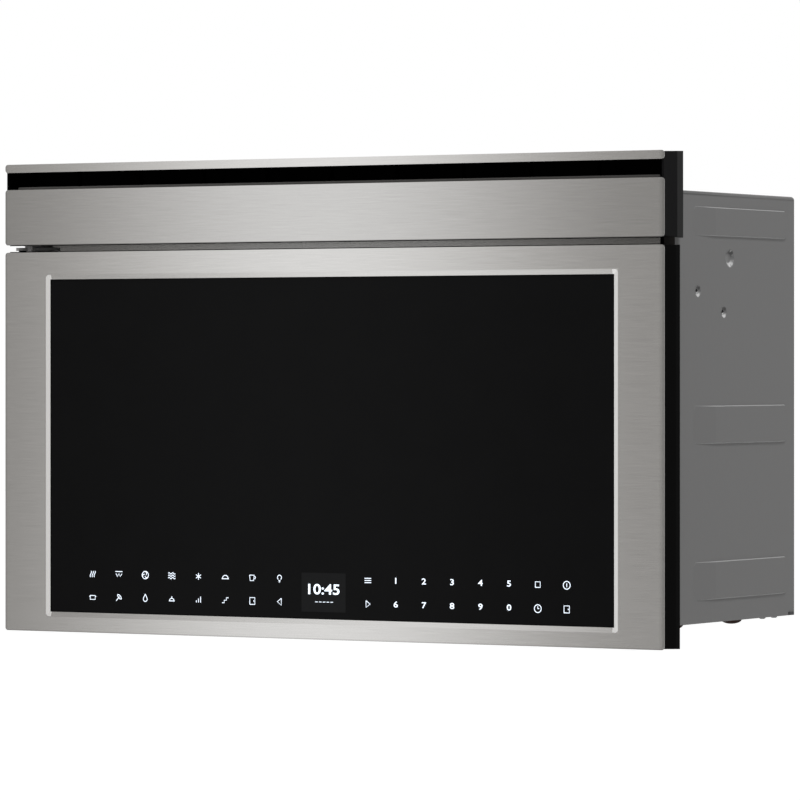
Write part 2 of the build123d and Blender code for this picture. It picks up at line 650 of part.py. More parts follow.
def wire_rack():
    """A welded rack: a round wire frame with thinner wires across."""
    x0, x1 = CAV_LEFT + RACK_IN, CAV_RIGHT - RACK_IN
    y0, y1 = FRAME_BACK + RACK_END, CAV_BACK - RACK_END
    wide, deep = x1 - x0, y1 - y0
    outer = chamfer(Rectangle(wide + 2 * WIRE_R, deep + 2 * WIRE_R).vertices(), RACK_CORNER)
    inner = chamfer(Rectangle(wide - 2 * WIRE_R, deep - 2 * WIRE_R).vertices(), RACK_CORNER - WIRE_R)
    rack = Pos((x0 + x1) / 2, (y0 + y1) / 2, RACK_Z - WIRE_R) * extrude(outer - inner, 2 * WIRE_R)
    octagon_edge = WIRE_R * 2 / (2 + 2**0.5)
    rack = chamfer(rack.faces().filter_by(Axis.Z).edges(), octagon_edge)
    for index in range(RACK_WIRES):
        x = x0 + (index + 1) * wide / (RACK_WIRES + 1)
        rack += bar(CROSS_R, deep, (x, y0, RACK_Z), "y", 4)
    return rack + bar(CROSS_R, wide, (x0, (y0 + y1) / 2, RACK_Z), "x", 4)


# Waveguide: a flat duct on the cavity's right wall, from the magnetron to the port.
GUIDE_T = 1.2
GUIDE_END = 26.0  # duct past the antenna
ANTENNA_R = 12.0
ANTENNA_L = 18.0


def waveguide():
    t = GUIDE_T
    y0, y1 = MAG_FRONT + 2 * SNUG, MAG_BACK - 2 * SNUG
    z0, z1 = CAV_Z - PORT_H / 2 - 4, MAG_Z + GUIDE_END
    duct = block(GUIDE_X, MAG_X, y0, y1, z0, z1)
    duct -= block(GUIDE_X + t, MAG_X - t, y0 + t, y1 - t, z0 + t, z1 - t)
    duct -= port(GUIDE_X - t, GUIDE_X + 2 * t, 0)
    return duct - bar(ANTENNA_R + 3, 4 * t, (MAG_X - 2 * t, MAG_Y, MAG_Z), "x")


def waveguide_cover():
    sheet = port(CAV_RIGHT - 0.6, CAV_RIGHT, 7)
    return chamfer(sheet.edges().filter_by(Axis.X), 4)


TUBE_R = 19.0
MAGNET_R = 27.0
MAGNET_T = 12.0
YOKE_T = 2.0
FIN_COUNT = 3


def magnetron():
    """Yoke, fins, magnets and filter box round the tube, with the antenna into the waveguide."""
    x0 = MAG_X + SNUG
    x1 = x0 + YOKE_W
    z0, z1 = MAG_Z - MAGNETRON_H / 2, MAG_Z + MAGNETRON_H / 2
    body = block(x0, x1, MAG_FRONT, MAG_BACK, z0, z1)
    body -= block(x0 + YOKE_T, x1 - YOKE_T, MAG_FRONT - CLIP, MAG_BACK + CLIP, z0 + YOKE_T, z1 - YOKE_T)
    body += bar(TUBE_R, YOKE_W - YOKE_T, (x0 + 1, MAG_Y, MAG_Z), "x", 8)
    body += bar(MAGNET_R, MAGNET_T, (x0 + YOKE_T, MAG_Y, MAG_Z), "x", 8)
    body += bar(MAGNET_R, MAGNET_T, (x1 - YOKE_T - MAGNET_T, MAG_Y, MAG_Z), "x", 8)
    for index in range(FIN_COUNT):
        x = x0 + YOKE_T + MAGNET_T + 6 + index * 8
        body += block(x, x + 1, MAG_FRONT + 4, MAG_BACK - 4, z0 + 1, z1 - 1)
    body += block(x1 - 1, x0 + MAGNETRON_W, MAG_FRONT + 12, MAG_BACK - 12, z0 + 10, z1 - 10)
    return body + bar(ANTENNA_R, ANTENNA_L + 2, (x0 - ANTENNA_L, MAG_Y, MAG_Z), "x")


# Cavity lamp over a round window in the roof, in a sheet box.
LAMP_BOX = 40.0
LAMP_BULB_R = 8.0
LAMP_NECK_R = 6.0
LAMP_BASE = CAV_ROOF + CAVITY_T
LAMP_TOP = LAMP_BASE + LAMP_BOX


def lamp_holder():
    z0 = LAMP_BASE + SNUG
    height = LAMP_TOP - z0
    body = centred(LAMP_X, LAMP_Y, z0 + height / 2, LAMP_BOX, LAMP_BOX, height)
    body -= centred(LAMP_X, LAMP_Y, z0 + height / 2 - 1, LAMP_BOX - 2, LAMP_BOX - 2, height)
    return body - bar(LAMP_NECK_R + SNUG, 4, (LAMP_X, LAMP_Y, LAMP_TOP - 2), "z")


def cavity_lamp():
    """A round-ended bulb with its socket above the box."""
    z0 = LAMP_BASE + 4
    length = LAMP_TOP - z0
    bulb = bar(LAMP_BULB_R, length - 14, (LAMP_X, LAMP_Y, z0), "z")
    bulb = chamfer(bulb.faces().sort_by(Axis.Z)[0].edges(), LAMP_BULB_R / 2)
    bulb += bar(LAMP_NECK_R, length, (LAMP_X, LAMP_Y, z0 + 6), "z")
    return bulb + bar(LAMP_NECK_R + 3, 8, (LAMP_X, LAMP_Y, LAMP_TOP + SNUG), "z")


def probe_jack():
    jack = bar(JACK_R, 26, (CAV_RIGHT - 3, JACK_Y, JACK_Z), "x", 8)
    jack += bar(JACK_R + 3, FLANGE_T, (CAV_RIGHT - FLANGE_T, JACK_Y, JACK_Z), "x", 8)
    jack += bar(JACK_R + 2.5, 4, (BAY_LEFT, JACK_Y, JACK_Z), "x", 8)
    return jack - bar(2.2, 20, (CAV_RIGHT - 4, JACK_Y, JACK_Z), "x", 8)


# Convection unit behind the rear wall: cover, housing, ring heater, impeller and motor.
COVER_W = 190.0
COVER_H = 176.0
COVER_D = 3.0
COVER_SLOTS = 10
SLOT_OUT = (64.0, 20.0)  # outer slots: radius of the ring, length
SLOT_IN = (26.0, 22.0)
HOUSING_D = 22.0
HOUSING_R = 92.0
HOUSING_FRONT = CAV_BACK + CAVITY_T + SNUG
HOUSING_BACK = HOUSING_FRONT + HOUSING_D
IMPELLER_FRONT = CAV_BACK + CAVITY_T + 3.0
IMPELLER_D = 13.0
IMPELLER_BACK = IMPELLER_FRONT + IMPELLER_D
CONVECTION_SHAFT_R = 4.0
RING_R = 68.0
RING_SHEATH = 3.0
RING_Y = IMPELLER_FRONT + 5.0
TERMINAL_X = 10.0


def convection_cover():
    """A shallow pressed cover inside the cavity, slotted round an inner and an outer ring."""
    wall = 0.8
    front = CAV_BACK - COVER_D
    cover = slab(COVER_W, COVER_H, 0, CAV_X, CAV_Z, front, CAV_BACK)
    cover = chamfer(cover.edges().filter_by(Axis.Y), 8)
    hollow = slab(COVER_W - 2 * wall, COVER_H - 2 * wall, 0, CAV_X, CAV_Z, front + wall, CAV_BACK + CLIP)
    cover -= chamfer(hollow.edges().filter_by(Axis.Y), 7.6)
    for count, (radius, length) in ((COVER_SLOTS, SLOT_OUT), (COVER_SLOTS // 2, SLOT_IN)):
        for index in range(count):
            angle = 360 * (index + 0.5) / count
            cut = Pos(radius, 0, 0) * Box(length, 8, 4.5)
            cover -= Pos(CAV_X, front, CAV_Z) * Rot(0, angle, 0) * cut
    return cover


def convection_housing():
    outer = bar(HOUSING_R, HOUSING_D, (CAV_X, HOUSING_FRONT, CAV_Z), "y", 8)
    outer = chamfer(outer.faces().sort_by(Axis.Y)[-1].edges(), 6)
    inner = bar(HOUSING_R - 1, HOUSING_D, (CAV_X, HOUSING_FRONT - 1, CAV_Z), "y", 8)
    bowl = outer - chamfer(inner.faces().sort_by(Axis.Y)[-1].edges(), 5.6)
    rim = bar(HOUSING_R + 9, 1, (CAV_X, HOUSING_FRONT, CAV_Z), "y", 8)
    bowl += rim - bar(HOUSING_R - 0.5, 3, (CAV_X, HOUSING_FRONT - 1, CAV_Z), "y", 8)
    bowl -= bar(CONVECTION_SHAFT_R + 2, 6, (CAV_X, HOUSING_BACK - 4, CAV_Z), "y", 8)
    for side in (-1, 1):
        bowl -= bar(4, 6, (CAV_X + side * TERMINAL_X, HOUSING_BACK - 4, CAV_Z - RING_R), "y", 8)
    return bowl


def ring_heater():
    ring = bar(RING_R + RING_SHEATH, 2 * RING_SHEATH, (CAV_X, RING_Y - RING_SHEATH, CAV_Z), "y", 24)
    ring -= bar(RING_R - RING_SHEATH, 4 * RING_SHEATH, (CAV_X, RING_Y - 2 * RING_SHEATH, CAV_Z), "y", 24)
    for side in (-1, 1):
        foot = (CAV_X + side * TERMINAL_X, RING_Y, CAV_Z - RING_R + 0.8)
        ring += bar(RING_SHEATH, 24, foot, "y", 6)
    return ring


def convection_fan():
    """A backplate with upright blades that lean back, on a hub and shaft."""
    hub_r = 9.0
    inner = hub_r + 8
    wheel = bar(IMPELLER_R, 1.2, (0, 0, 0), "z", 16) + bar(hub_r, IMPELLER_D * 0.7, (0, 0, 0), "z")
    blades = 10
    for index in range(blades):
        blade = Pos((IMPELLER_R - inner) / 2, 0, IMPELLER_D / 2) * Box(IMPELLER_R - inner, 1.2, IMPELLER_D)
        wheel += Rot(0, 0, index * 360 / blades) * Pos(inner, 0, 0) * Rot(0, 0, 18) * blade
    fan = Pos(CAV_X, IMPELLER_BACK, CAV_Z) * Rot(90, 0, 0) * wheel
    return fan + bar(CONVECTION_SHAFT_R, 20, (CAV_X, IMPELLER_BACK - 2, CAV_Z), "y")


def convection_motor():
    y0, y1 = HOUSING_BACK, PANEL_FRONT - 2
    can = bar(29, y1 - y0 - 3, (CAV_X, y0 + 3, CAV_Z), "y", 16)
    can += block(CAV_X - 40, CAV_X + 40, y0, y0 + 3, CAV_Z - 9, CAV_Z + 9)
    return can - bore(CONVECTION_SHAFT_R, 21, (CAV_X, y0 - 1, CAV_Z), "y")


# Turntable: motor under the floor, coupler, roller ring with three rollers, and the glass.
PLATE_R = REACH - TURNTABLE_GAP
PLATE_RIM = 9.0
PLATE_SIDES = 30
ROLL_Z = DISH_Z + AIR + ROLLER_R
PLATE_Z = ROLL_Z + ROLLER_R + AIR
ROLL_AT = PLATE_R - 26.0
LUG_R = 17.0
HUB_R = 7.5
HUB_Z = DISH_Z + 1.0
ROLLER_ANGLES = (90, 210, 330)


def turntable_motor():
    z1 = DISH_Z - CAVITY_T - SNUG
    can = bar(27, 19, (CAV_X, CAV_Y, z1 - 20), "z", 16)
    can += block(CAV_X - 38, CAV_X + 38, CAV_Y - 8, CAV_Y + 8, z1 - 1.2, z1)
    can += block(CAV_X + 20, CAV_X + 36, CAV_Y - 7, CAV_Y + 7, z1 - 18, z1 - 5)
    return can - bore(SHAFT_R, 15, (CAV_X, CAV_Y, z1 - 14), "z")


def turntable_coupler():
    """The motor's shaft with the three-armed plastic coupler on it."""
    hub = bar(HUB_R, PLATE_Z - HUB_Z, (CAV_X, CAV_Y, HUB_Z), "z")
    for index in range(3):
        arm = Pos(LUG_R / 2, 0, PLATE_Z - 3.5) * Box(LUG_R, 5, 7)
        hub += Pos(CAV_X, CAV_Y, 0) * Rot(0, 0, 120 * index + 30) * arm
    return hub + bar(SHAFT_R, 24, (CAV_X, CAV_Y, HUB_Z - 14), "z")


def glass_turntable():
    """A dished glass plate with a raised rim and three drive lugs below."""
    foot_r = PLATE_R - 6
    well_r = PLATE_R - 9
    outer = extrude(RegularPolygon(foot_r, PLATE_SIDES), PLATE_RIM, taper=-33)
    well = Pos(0, 0, TURNTABLE_T) * extrude(RegularPolygon(well_r, PLATE_SIDES), PLATE_RIM, taper=-54)
    plate = Pos(CAV_X, CAV_Y, PLATE_Z) * (outer - well)
    for index in range(3):
        lug = Pos(LUG_R - 3, 0, PLATE_Z - 2.5) * Box(6, 7, 6)
        plate += Pos(CAV_X, CAV_Y, 0) * Rot(0, 0, 120 * index + 90) * lug
    return plate


def roller_ring():
    ring = bar(ROLL_AT - 4, 4, (CAV_X, CAV_Y, ROLL_Z - 2), "z", 16)
    ring -= bar(ROLL_AT - 12, 6, (CAV_X, CAV_Y, ROLL_Z - 3), "z", 16)
    for angle in ROLLER_ANGLES:
        place = Pos(CAV_X, CAV_Y, ROLL_Z) * Rot(0, 0, angle)
        ring += place * bar(3.2, 6 - AIR, (ROLL_AT - 6, 0, 0), "x", 6)
        ring += place * bar(AXLE_R, ROLLER_W + 2 * AIR + 3, (ROLL_AT - 1, 0, 0), "x", 8)
        ring += place * bar(3.2, 2, (ROLL_AT + ROLLER_W + AIR, 0, 0), "x", 6)
    return ring


def roller(angle):
    wheel = bar(ROLLER_R, ROLLER_W, (ROLL_AT, 0, 0), "x", 16)
    wheel -= bore(AXLE_R, ROLLER_W + 2 * CLIP, (ROLL_AT - CLIP, 0, 0), "x", 8)
    return Pos(CAV_X, CAV_Y, ROLL_Z) * Rot(0, 0, angle) * wheel


# Cooling fan at the rear of the bay, blowing through a duct over the magnetron.
SHROUD_HALF = COOLING_R + 8.0
COOLING_HUB_R = 13.0
SPIDER_T = 2.0


def fan_shroud():
    half = SHROUD_HALF
    body = block(FAN_X - half, FAN_X + half, SHROUD_FRONT, SHROUD_BACK, MAG_Z - half, MAG_Z + half)
    body = chamfer(body.edges().filter_by(Axis.Y), 6)
    body -= bar(COOLING_R + 3, SHROUD_D + 2 * CLIP, (FAN_X, SHROUD_FRONT - CLIP, MAG_Z), "y", 24)
    arm = half - 3
    y1 = SHROUD_BACK + SPIDER_T
    spider = block(FAN_X - arm, FAN_X + arm, SHROUD_BACK, y1, MAG_Z - 5, MAG_Z + 5)
    spider += block(FAN_X - 5, FAN_X + 5, SHROUD_BACK, y1, MAG_Z - arm, MAG_Z + arm)
    return body + spider - bar(6, 4, (FAN_X, SHROUD_BACK - CLIP, MAG_Z), "y", 8)


def cooling_fan():
    """Five pitched blades on a hub, with the shaft back into the motor."""
    fan = bar(COOLING_HUB_R, 14, (FAN_X, SHROUD_FRONT + 4, MAG_Z), "y")
    for index in range(5):
        blade = Pos((COOLING_R + 11) / 2, 0, 0) * Rot(35, 0, 0) * Box(COOLING_R - 11, 22, 1.4)
        fan += Pos(FAN_X, SHROUD_FRONT + 11, MAG_Z) * Rot(0, index * 72, 0) * blade
    return fan + bar(SMALL_SHAFT_R, 24, (FAN_X, SHROUD_FRONT + 16, MAG_Z), "y")


def cooling_motor():
    y0 = SHROUD_BACK + SPIDER_T
    core = block(FAN_X - 30, FAN_X + 30, y0 + 5, y0 + 23, MAG_Z - 24, MAG_Z + 30)
    core += block(FAN_X - 16, FAN_X + 16, y0 + 2, FAN_REAR - 1, MAG_Z - 38, MAG_Z - 12)
    core += bar(11, 5.5, (FAN_X, y0, MAG_Z), "y")
    return core - bore(SMALL_SHAFT_R, 26, (FAN_X, y0 - 1, MAG_Z), "y")


def duct_solid(wall, reach):
    """The air duct's outside, or its inside when a wall is given."""
    x0, x1 = MAG_X + wall, MAG_X + YOKE_W - wall
    nose_half = MAGNETRON_H / 2 - wall
    half = SHROUD_HALF - wall
    nose = (x0, x1, MAG_Z - nose_half, MAG_Z + nose_half, MAG_BACK + SNUG - reach)
    rear = (FAN_X - half, FAN_X + half, MAG_Z - half, MAG_Z + half, SHROUD_FRONT - SNUG + reach)
    return funnel(nose, rear)


def air_duct():
    """A tapered duct from the fan's shroud to the magnetron's fins."""
    return duct_solid(0, 0) - duct_solid(1.5, 0.05)


# Power parts on the base of the bay and boards above.
POWER_X = BAY_LEFT + 22.0
POWER_Z = BODY_BASE + BASE_T
TRANSFORMER_Y = 54.0
COIL_D = 80.0
CAPACITOR_Y = TRANSFORMER_Y + COIL_D + 64.0
BOARD_X0 = BAY_LEFT + 6.0
BOARD_X1 = BODY_HALF - 34.0
BOARD_Y0 = 48.0
BOARD_Y1 = 158.0
BOARD_Z = BODY_TOP - 66.0
BOARD_T = 1.6
SHELF_Z = BOARD_Z - 8.0
FILTER_D = 56.0


def transformer():
    x, y, z = POWER_X, TRANSFORMER_Y, POWER_Z
    core = block(x, x + 96, y + 14, y + 66, z, z + 76)
    coils = block(x + 16, x + 80, y, y + COIL_D, z + 12, z + 62)
    coils = chamfer(coils.edges().filter_by(Axis.Z), 8)
    return core + coils + block(x - 12, x + 108, y + 14, y + 66, z, z + 1.5)


def capacitor():
    x, y, z = POWER_X + 45, CAPACITOR_Y, POWER_Z
    can = Pos(x, y, z) * extrude(chamfer(Rectangle(90, 50).vertices(), 14), 34)
    for side in (-12, 12):
        can += centred(x + side, y, z + 37.5, 6, 16, 9)
    return can


def power_boards():
    """The control board on its shelf over the bay, and the line filter behind it."""
    x0, x1, y0, y1, z = BOARD_X0, BOARD_X1, BOARD_Y0, BOARD_Y1, BOARD_Z
    shelf = block(x0, x1, y0, y1, SHELF_Z, SHELF_Z + 1)
    shelf += block(x0 + 4, x1 - 4, y0 + 4, y1 - 4, z, z + BOARD_T)
    for x in (x0 + 8, x1 - 8):
        for y in (y0 + 8, y1 - 8):
            shelf += bar(3, 8, (x, y, SHELF_Z + 0.5), "z", 6)
    relay_pitch = (x1 - x0 - 24) / 4
    for index in range(4):
        x = x0 + 14 + index * relay_pitch
        shelf += block(x, x + relay_pitch - 8, y0 + 16, y0 + 38, z + 1, z + 20)
    shelf += block(x0 + 20, x0 + 66, y1 - 52, y1 - 12, z + 1, z + 34)
    tie_x = BAY_LEFT + SNUG
    shelf += block(tie_x, x0 + 2, y0, y1, SHELF_Z, SHELF_Z + 1)
    shelf += block(tie_x, tie_x + 1, y0, y1, CAV_ROOF - 24, SHELF_Z + 1)
    filter_y = PANEL_FRONT - FILTER_D - 6
    line = block(x0 + 10, x1 - 30, filter_y, filter_y + FILTER_D, z, z + BOARD_T)
    line += bar(14, 18, (x0 + 40, filter_y + 28, z + 1), "z")
    line += block(x0 + 66, x0 + 92, filter_y + 12, filter_y + 40, z + 1, z + 18)
    line += block(x0 + 14, x0 + 18, filter_y + FILTER_D - 2, PANEL_FRONT - SNUG, z, z + BOARD_T)
    return Compound(children=[shelf, line])


def cutout(x, y, z):
    """A button thermostat on its strap."""
    return bar(8, 6, (x, y, z), "z", 8) + block(x - 12, x + 12, y - 4, y + 4, z, z + 1)


def thermal_cutouts():
    """Two thermostats, on the cavity's roof and on the magnetron."""
    roof = cutout(CAV_X + 40, CAV_Y, CAV_ROOF + CAVITY_T)
    return Compound(children=[roof, cutout(MAG_X + 30, MAG_Y, MAG_Z + MAGNETRON_H / 2)])


# Door: steel skin, dark glass, black shell, choke frame with its comb of fins, screen and inner pane.
def door_skin():
    skin = tray(FRONT_W, DOOR_H, DOOR_MID)
    rim = 2 * (BEVEL_W + RIM_W)
    skin += slab(WIN_W + rim, WIN_H + rim, 0, 0, WIN_Z, FACE_Y + SKIN / 2, FACE_Y + RIM_T)
    half_w, half_h = WIN_W / 2, WIN_H / 2
    wide, tall = half_w + BEVEL_W, half_h + BEVEL_W
    mouth = (-wide, wide, WIN_Z - tall, WIN_Z + tall, FACE_Y)
    throat = (-half_w, half_w, WIN_Z - half_h, WIN_Z + half_h, FACE_Y + BEVEL_D)
    skin -= funnel(mouth, throat)
    return skin - slab(WIN_W, WIN_H, 0, 0, WIN_Z, FACE_Y + BEVEL_D / 2, FACE_Y + RIM_T + CLIP)


def door_glass():
    return slab(WIN_W + 2 * GLASS_LAP, WIN_H + 2 * GLASS_LAP, 0, 0, WIN_Z, GLASS_FRONT, GLASS_BACK)


GUIDE_H = 14.0
GUIDE_HALF = 7.0
SLIDE_FIT = 0.2
BAR_W = 14.0
BAR_BACK = DOOR_BACK - PLASTIC - 5.0
BAR_FRONT = BAR_BACK - BAR_W
BAR_FOOT = HOOK_LOW - 22.0
BAR_HEAD = HOOK_HIGH + 34.0
GUIDE_FEET = (HOOK_LOW + 20.0, HOOK_HIGH + 15.0)
SPRING_R = 3.4
SPRING_H = 20.0
SPRING_T = 1.0
PEG_R = 1.4
CHOKE_X0 = CAV_LEFT - CHOKE_W + 1.0
CHOKE_X1 = CAV_RIGHT + CHOKE_W
CHOKE_MID = (CHOKE_X0 + CHOKE_X1) / 2
CHOKE_SPAN = CHOKE_X1 - CHOKE_X0
CHOKE_TALL = CAV_H + 2 * CHOKE_W
CHOKE_T = 1.0
COVER_FRONT = DOOR_BACK - PLASTIC
CHOKE_FRONT = COVER_FRONT - CHOKE_D
VIEW_W = CAV_W - 2 * VIEW_INSET
VIEW_H = CAV_H - 2 * VIEW_INSET
LAND_W = 9.0
COVER_LAP = 8.0
FIN_PITCH = 60.0
FIN_SLOT = 4.0
BOSS = 6.5


def door_shell():
    half = HALF_W - MOULD_IN
    wide = half + MOULD_FLARE
    z0, z1 = DOOR_BASE + MOULD_IN, DOOR_TOP - MOULD_IN
    front = (-half, half, z0, z1, MOULD_FRONT)
    rear = (-wide, wide, z0 - MOULD_FLARE, z1 + MOULD_FLARE, DOOR_BACK)
    shell = funnel(front, rear)
    shell = chamfer(shell.faces().sort_by(Axis.Y)[-1].edges(), MOULD_EDGE)
    seat = HALF_W - 2 * MOULD_IN
    shell += block(-seat, seat, SKIN_BACK, MOULD_FRONT + CLIP, z0 + MOULD_IN, z1 - MOULD_IN)
    inner = half - PLASTIC
    shell -= block(-inner, inner, FACE_Y, COVER_FRONT, z0 + PLASTIC, z1 - PLASTIC)
    gap = 2 * AIR
    recess = (CHOKE_SPAN + gap, CHOKE_TALL + gap, 0, CHOKE_MID, CAV_Z)
    shell -= slab(*recess, COVER_FRONT - CLIP, DOOR_BACK + CLIP)
    for foot, top in ((LOW_BRACKET_Z, LOW_BRACKET_Z + BRACKET_T + AIR + PIN_LENGTH), (z1 - PIN_LENGTH, z1)):
        shell += block(-half + 1, PIVOT_X + BOSS, PIVOT_Y - BOSS, PIVOT_Y + BOSS, foot, top)
    notch_top = LOW_BRACKET_Z + BRACKET_T + AIR
    notch_x1 = BRACKET_X1 + 3
    notch_y0, notch_z0 = PIVOT_Y - NOSE_R - 1, LOW_BRACKET_Z - 3 * AIR
    shell -= block(-wide - CLIP, notch_x1, notch_y0, DOOR_BACK + CLIP, notch_z0, notch_top)
    for z in (LOW_BRACKET_Z, HIGH_BRACKET_Z + BRACKET_T - PIN_LENGTH - 1):
        shell -= bore(PIN_R, PIN_LENGTH, (PIVOT_X, PIVOT_Y, z), "z", 16)
    x0, x1 = LATCH_X - GUIDE_HALF, LATCH_X + GUIDE_HALF
    for z in GUIDE_FEET:
        shell += block(x0, x1, BAR_FRONT - 3, COVER_FRONT + 1, z, z + GUIDE_H)
    spring_top = BAR_HEAD + SPRING_H
    shell += block(x0, x1, BAR_FRONT - 3, COVER_FRONT + 1, spring_top, spring_top + 4)
    x0, x1 = LATCH_X - LATCH_T / 2, LATCH_X + LATCH_T / 2
    y0, y1 = BAR_FRONT - SLIDE_FIT, BAR_BACK + SLIDE_FIT
    shell -= block(x0 - SLIDE_FIT, x1 + SLIDE_FIT, y0, y1, BAR_FOOT - 4, BAR_HEAD + LATCH_TRAVEL + 2)
    for z in (HOOK_LOW, HOOK_HIGH):
        top = z + HOOK_H + LATCH_TRAVEL + 2 * AIR
        shell -= block(x0 - HOOK_SIDE, x1 + HOOK_SIDE, BAR_BACK - 1, DOOR_BACK + CLIP, z - 2 * AIR, top)
    return shell


def latch_bar():
    """A sliding bar in the door with two hooks that reach into the casing."""
    x0, x1 = LATCH_X - LATCH_T / 2, LATCH_X + LATCH_T / 2
    side = Plane(origin=(x0, 0, 0), x_dir=(0, 1, 0), z_dir=(1, 0, 0))
    latch = block(x0, x1, BAR_FRONT, BAR_BACK, BAR_FOOT, BAR_HEAD)
    for z in (HOOK_LOW, HOOK_HIGH):
        hook = Polyline(
            (BAR_BACK - 2, z),
            (HOOK_REACH - 8, z),
            (HOOK_REACH - 8, z - HOOK_DROP),
            (HOOK_REACH - 5, z - HOOK_DROP),
            (HOOK_REACH, z + 2),
            (HOOK_REACH, z + HOOK_H),
            (BAR_BACK - 2, z + HOOK_H),
            close=True,
        )
        latch += extrude(side * make_face(hook), LATCH_T)
    middle = (BAR_FRONT + BAR_BACK) / 2
    return latch + bar(PEG_R, SPRING_H / 2, (LATCH_X, middle, BAR_HEAD - 1), "z", 8)


def latch_spring():
    middle = (BAR_FRONT + BAR_BACK) / 2
    coil = bar(SPRING_R, SPRING_H - SNUG, (LATCH_X, middle, BAR_HEAD), "z")
    return coil - bar(SPRING_R - SPRING_T, SPRING_H + 2 * CLIP, (LATCH_X, middle, BAR_HEAD - CLIP), "z")


def choke_frame():
    """The sheet inside the door: a viewing window, a land round it and a comb of choke fins."""
    y0, y1, t = CHOKE_FRONT, COVER_FRONT, CHOKE_T
    frame = slab(CHOKE_SPAN, CHOKE_TALL, 0, CHOKE_MID, CAV_Z, y0, y1)
    frame -= slab(CHOKE_SPAN - 2 * t, CHOKE_TALL - 2 * t, 0, CHOKE_MID, CAV_Z, y0 + t, y1 + CLIP)
    land_w, land_h = VIEW_W + 2 * LAND_W, VIEW_H + 2 * LAND_W
    frame += slab(land_w, land_h, 0, CAV_X, CAV_Z, y0 + t / 2, y1 - PANE_T)
    frame -= slab(land_w - 2 * t, land_h - 2 * t, 0, CAV_X, CAV_Z, y0 + t, y1 - PANE_T + CLIP)
    frame -= slab(VIEW_W, VIEW_H, 0, CAV_X, CAV_Z, y0 - CLIP, y0 + 2 * t)
    columns = int((CHOKE_SPAN - 20) / FIN_PITCH)
    rows = int((CHOKE_TALL - 20) / FIN_PITCH)
    fin_depth = CHOKE_D - 4
    comb_y = y1 - fin_depth / 2 + 0.01
    comb = Part()
    for column in range(columns + 1):
        x = CHOKE_MID + (column - columns / 2) * FIN_PITCH
        comb += centred(x, comb_y, CAV_Z, FIN_SLOT, fin_depth, CHOKE_TALL + 4)
    for row in range(rows + 1):
        z = CAV_Z + (row - rows / 2) * FIN_PITCH
        comb += centred(CHOKE_MID, comb_y, z, CHOKE_SPAN + 4, fin_depth, FIN_SLOT)
    border = slab(CHOKE_SPAN + 1, CHOKE_TALL + 1, 0, CHOKE_MID, CAV_Z, y0, y1 + 1)
    border -= slab(CHOKE_SPAN - 4, CHOKE_TALL - 4, 0, CHOKE_MID, CAV_Z, y0 - 1, y1 + 2)
    return frame - (comb & border)


def choke_cover():
    """A black moulded frame over the choke, flush with the shell, which also holds the inner pane."""
    gap = 2 * SNUG
    cover = slab(CHOKE_SPAN - gap, CHOKE_TALL - gap, 0, CHOKE_MID, CAV_Z, COVER_FRONT + SNUG, DOOR_BACK)
    narrow = 2 * (LAND_W - COVER_LAP)
    view = (VIEW_W + narrow, VIEW_H + narrow, 3.0, CAV_X, CAV_Z)
    return cover - slab(*view, COVER_FRONT - CLIP, DOOR_BACK + CLIP)


def inner_glass():
    size = (VIEW_W + 2 * LAND_W, VIEW_H + 2 * LAND_W, 0, CAV_X, CAV_Z)
    return slab(*size, COVER_FRONT - PANE_T, COVER_FRONT)


def door_screen():
    y0 = CHOKE_FRONT + CHOKE_T
    return slab(VIEW_W + LAND_W, VIEW_H + LAND_W, 0, CAV_X, CAV_Z, y0, y0 + 0.5)


KEY_SPAN = WIN_W - 2 * 29.9
KEY_FOOT = WIN_BASE + 7.0
KEY_BAND = 39.0
DISPLAY_W = 51.0
DISPLAY_H = 38.6
BOARD_EDGE = 4.0  # board past the keys


def touch_board():
    """The key board behind the glass in two halves, bridged behind the display."""
    x1, y0 = KEY_SPAN / 2, GLASS_BACK
    z0, z1 = KEY_FOOT - BOARD_EDGE, KEY_FOOT + KEY_BAND + BOARD_EDGE
    clear = DISPLAY_W / 2 + 2
    middle = KEY_FOOT + KEY_BAND / 2
    board = block(-x1, x1, y0, y0 + BOARD_T, z0, z1)
    board -= block(-clear, clear, y0 - CLIP, y0 + 2 * BOARD_T, z0 - CLIP, z1 + CLIP)
    bridge = block(-x1 / 2, x1 / 2, y0 + BOARD_T, y0 + 2 * BOARD_T, middle - 12, middle + 12)
    return board + bridge - block(-clear, clear, y0 - CLIP, y0 + 3 * BOARD_T, middle - 8, middle + 8)


def display_module():
    half, y0, z0 = DISPLAY_W / 2, GLASS_BACK, KEY_FOOT
    module = block(-half, half, y0, y0 + 1.5, z0, z0 + DISPLAY_H)
    return module + block(-half + 3, half - 3, y0 + 1, y0 + 7, z0 + 13, z0 + 26)


# Interlock: a bracket behind the front frame, three switches with plungers, and the door opener.
CHEEK_LEFT = LATCH_X - 11.0
CHEEK_RIGHT = LATCH_X + 7.0
CHEEK_T = 1.5
CHEEK_BACK = 48.0
SWITCH_W = 12.0
SWITCH_D = 17.0
SWITCH_H = 20.0
SWITCH_FRONT = HOOK_REACH + 4.0
PLUNGER_L = 8.0
HOOK_TIP = HOOK_REACH + AIR + SNUG
TIP_RISE = HOOK_H / 2 + 1.0  # plunger above the hook's underside
MONITOR_Y = HOOK_REACH - 6.5
MONITOR_TIP = HOOK_LOW - HOOK_DROP - 2 * AIR
MONITOR_TOP = MONITOR_TIP - 3.5
CAM_REACH = 20.0
CAM_Y = 22.0
CAM_Z = HOOK_HIGH - 27.0
OPENER_R = 18.0


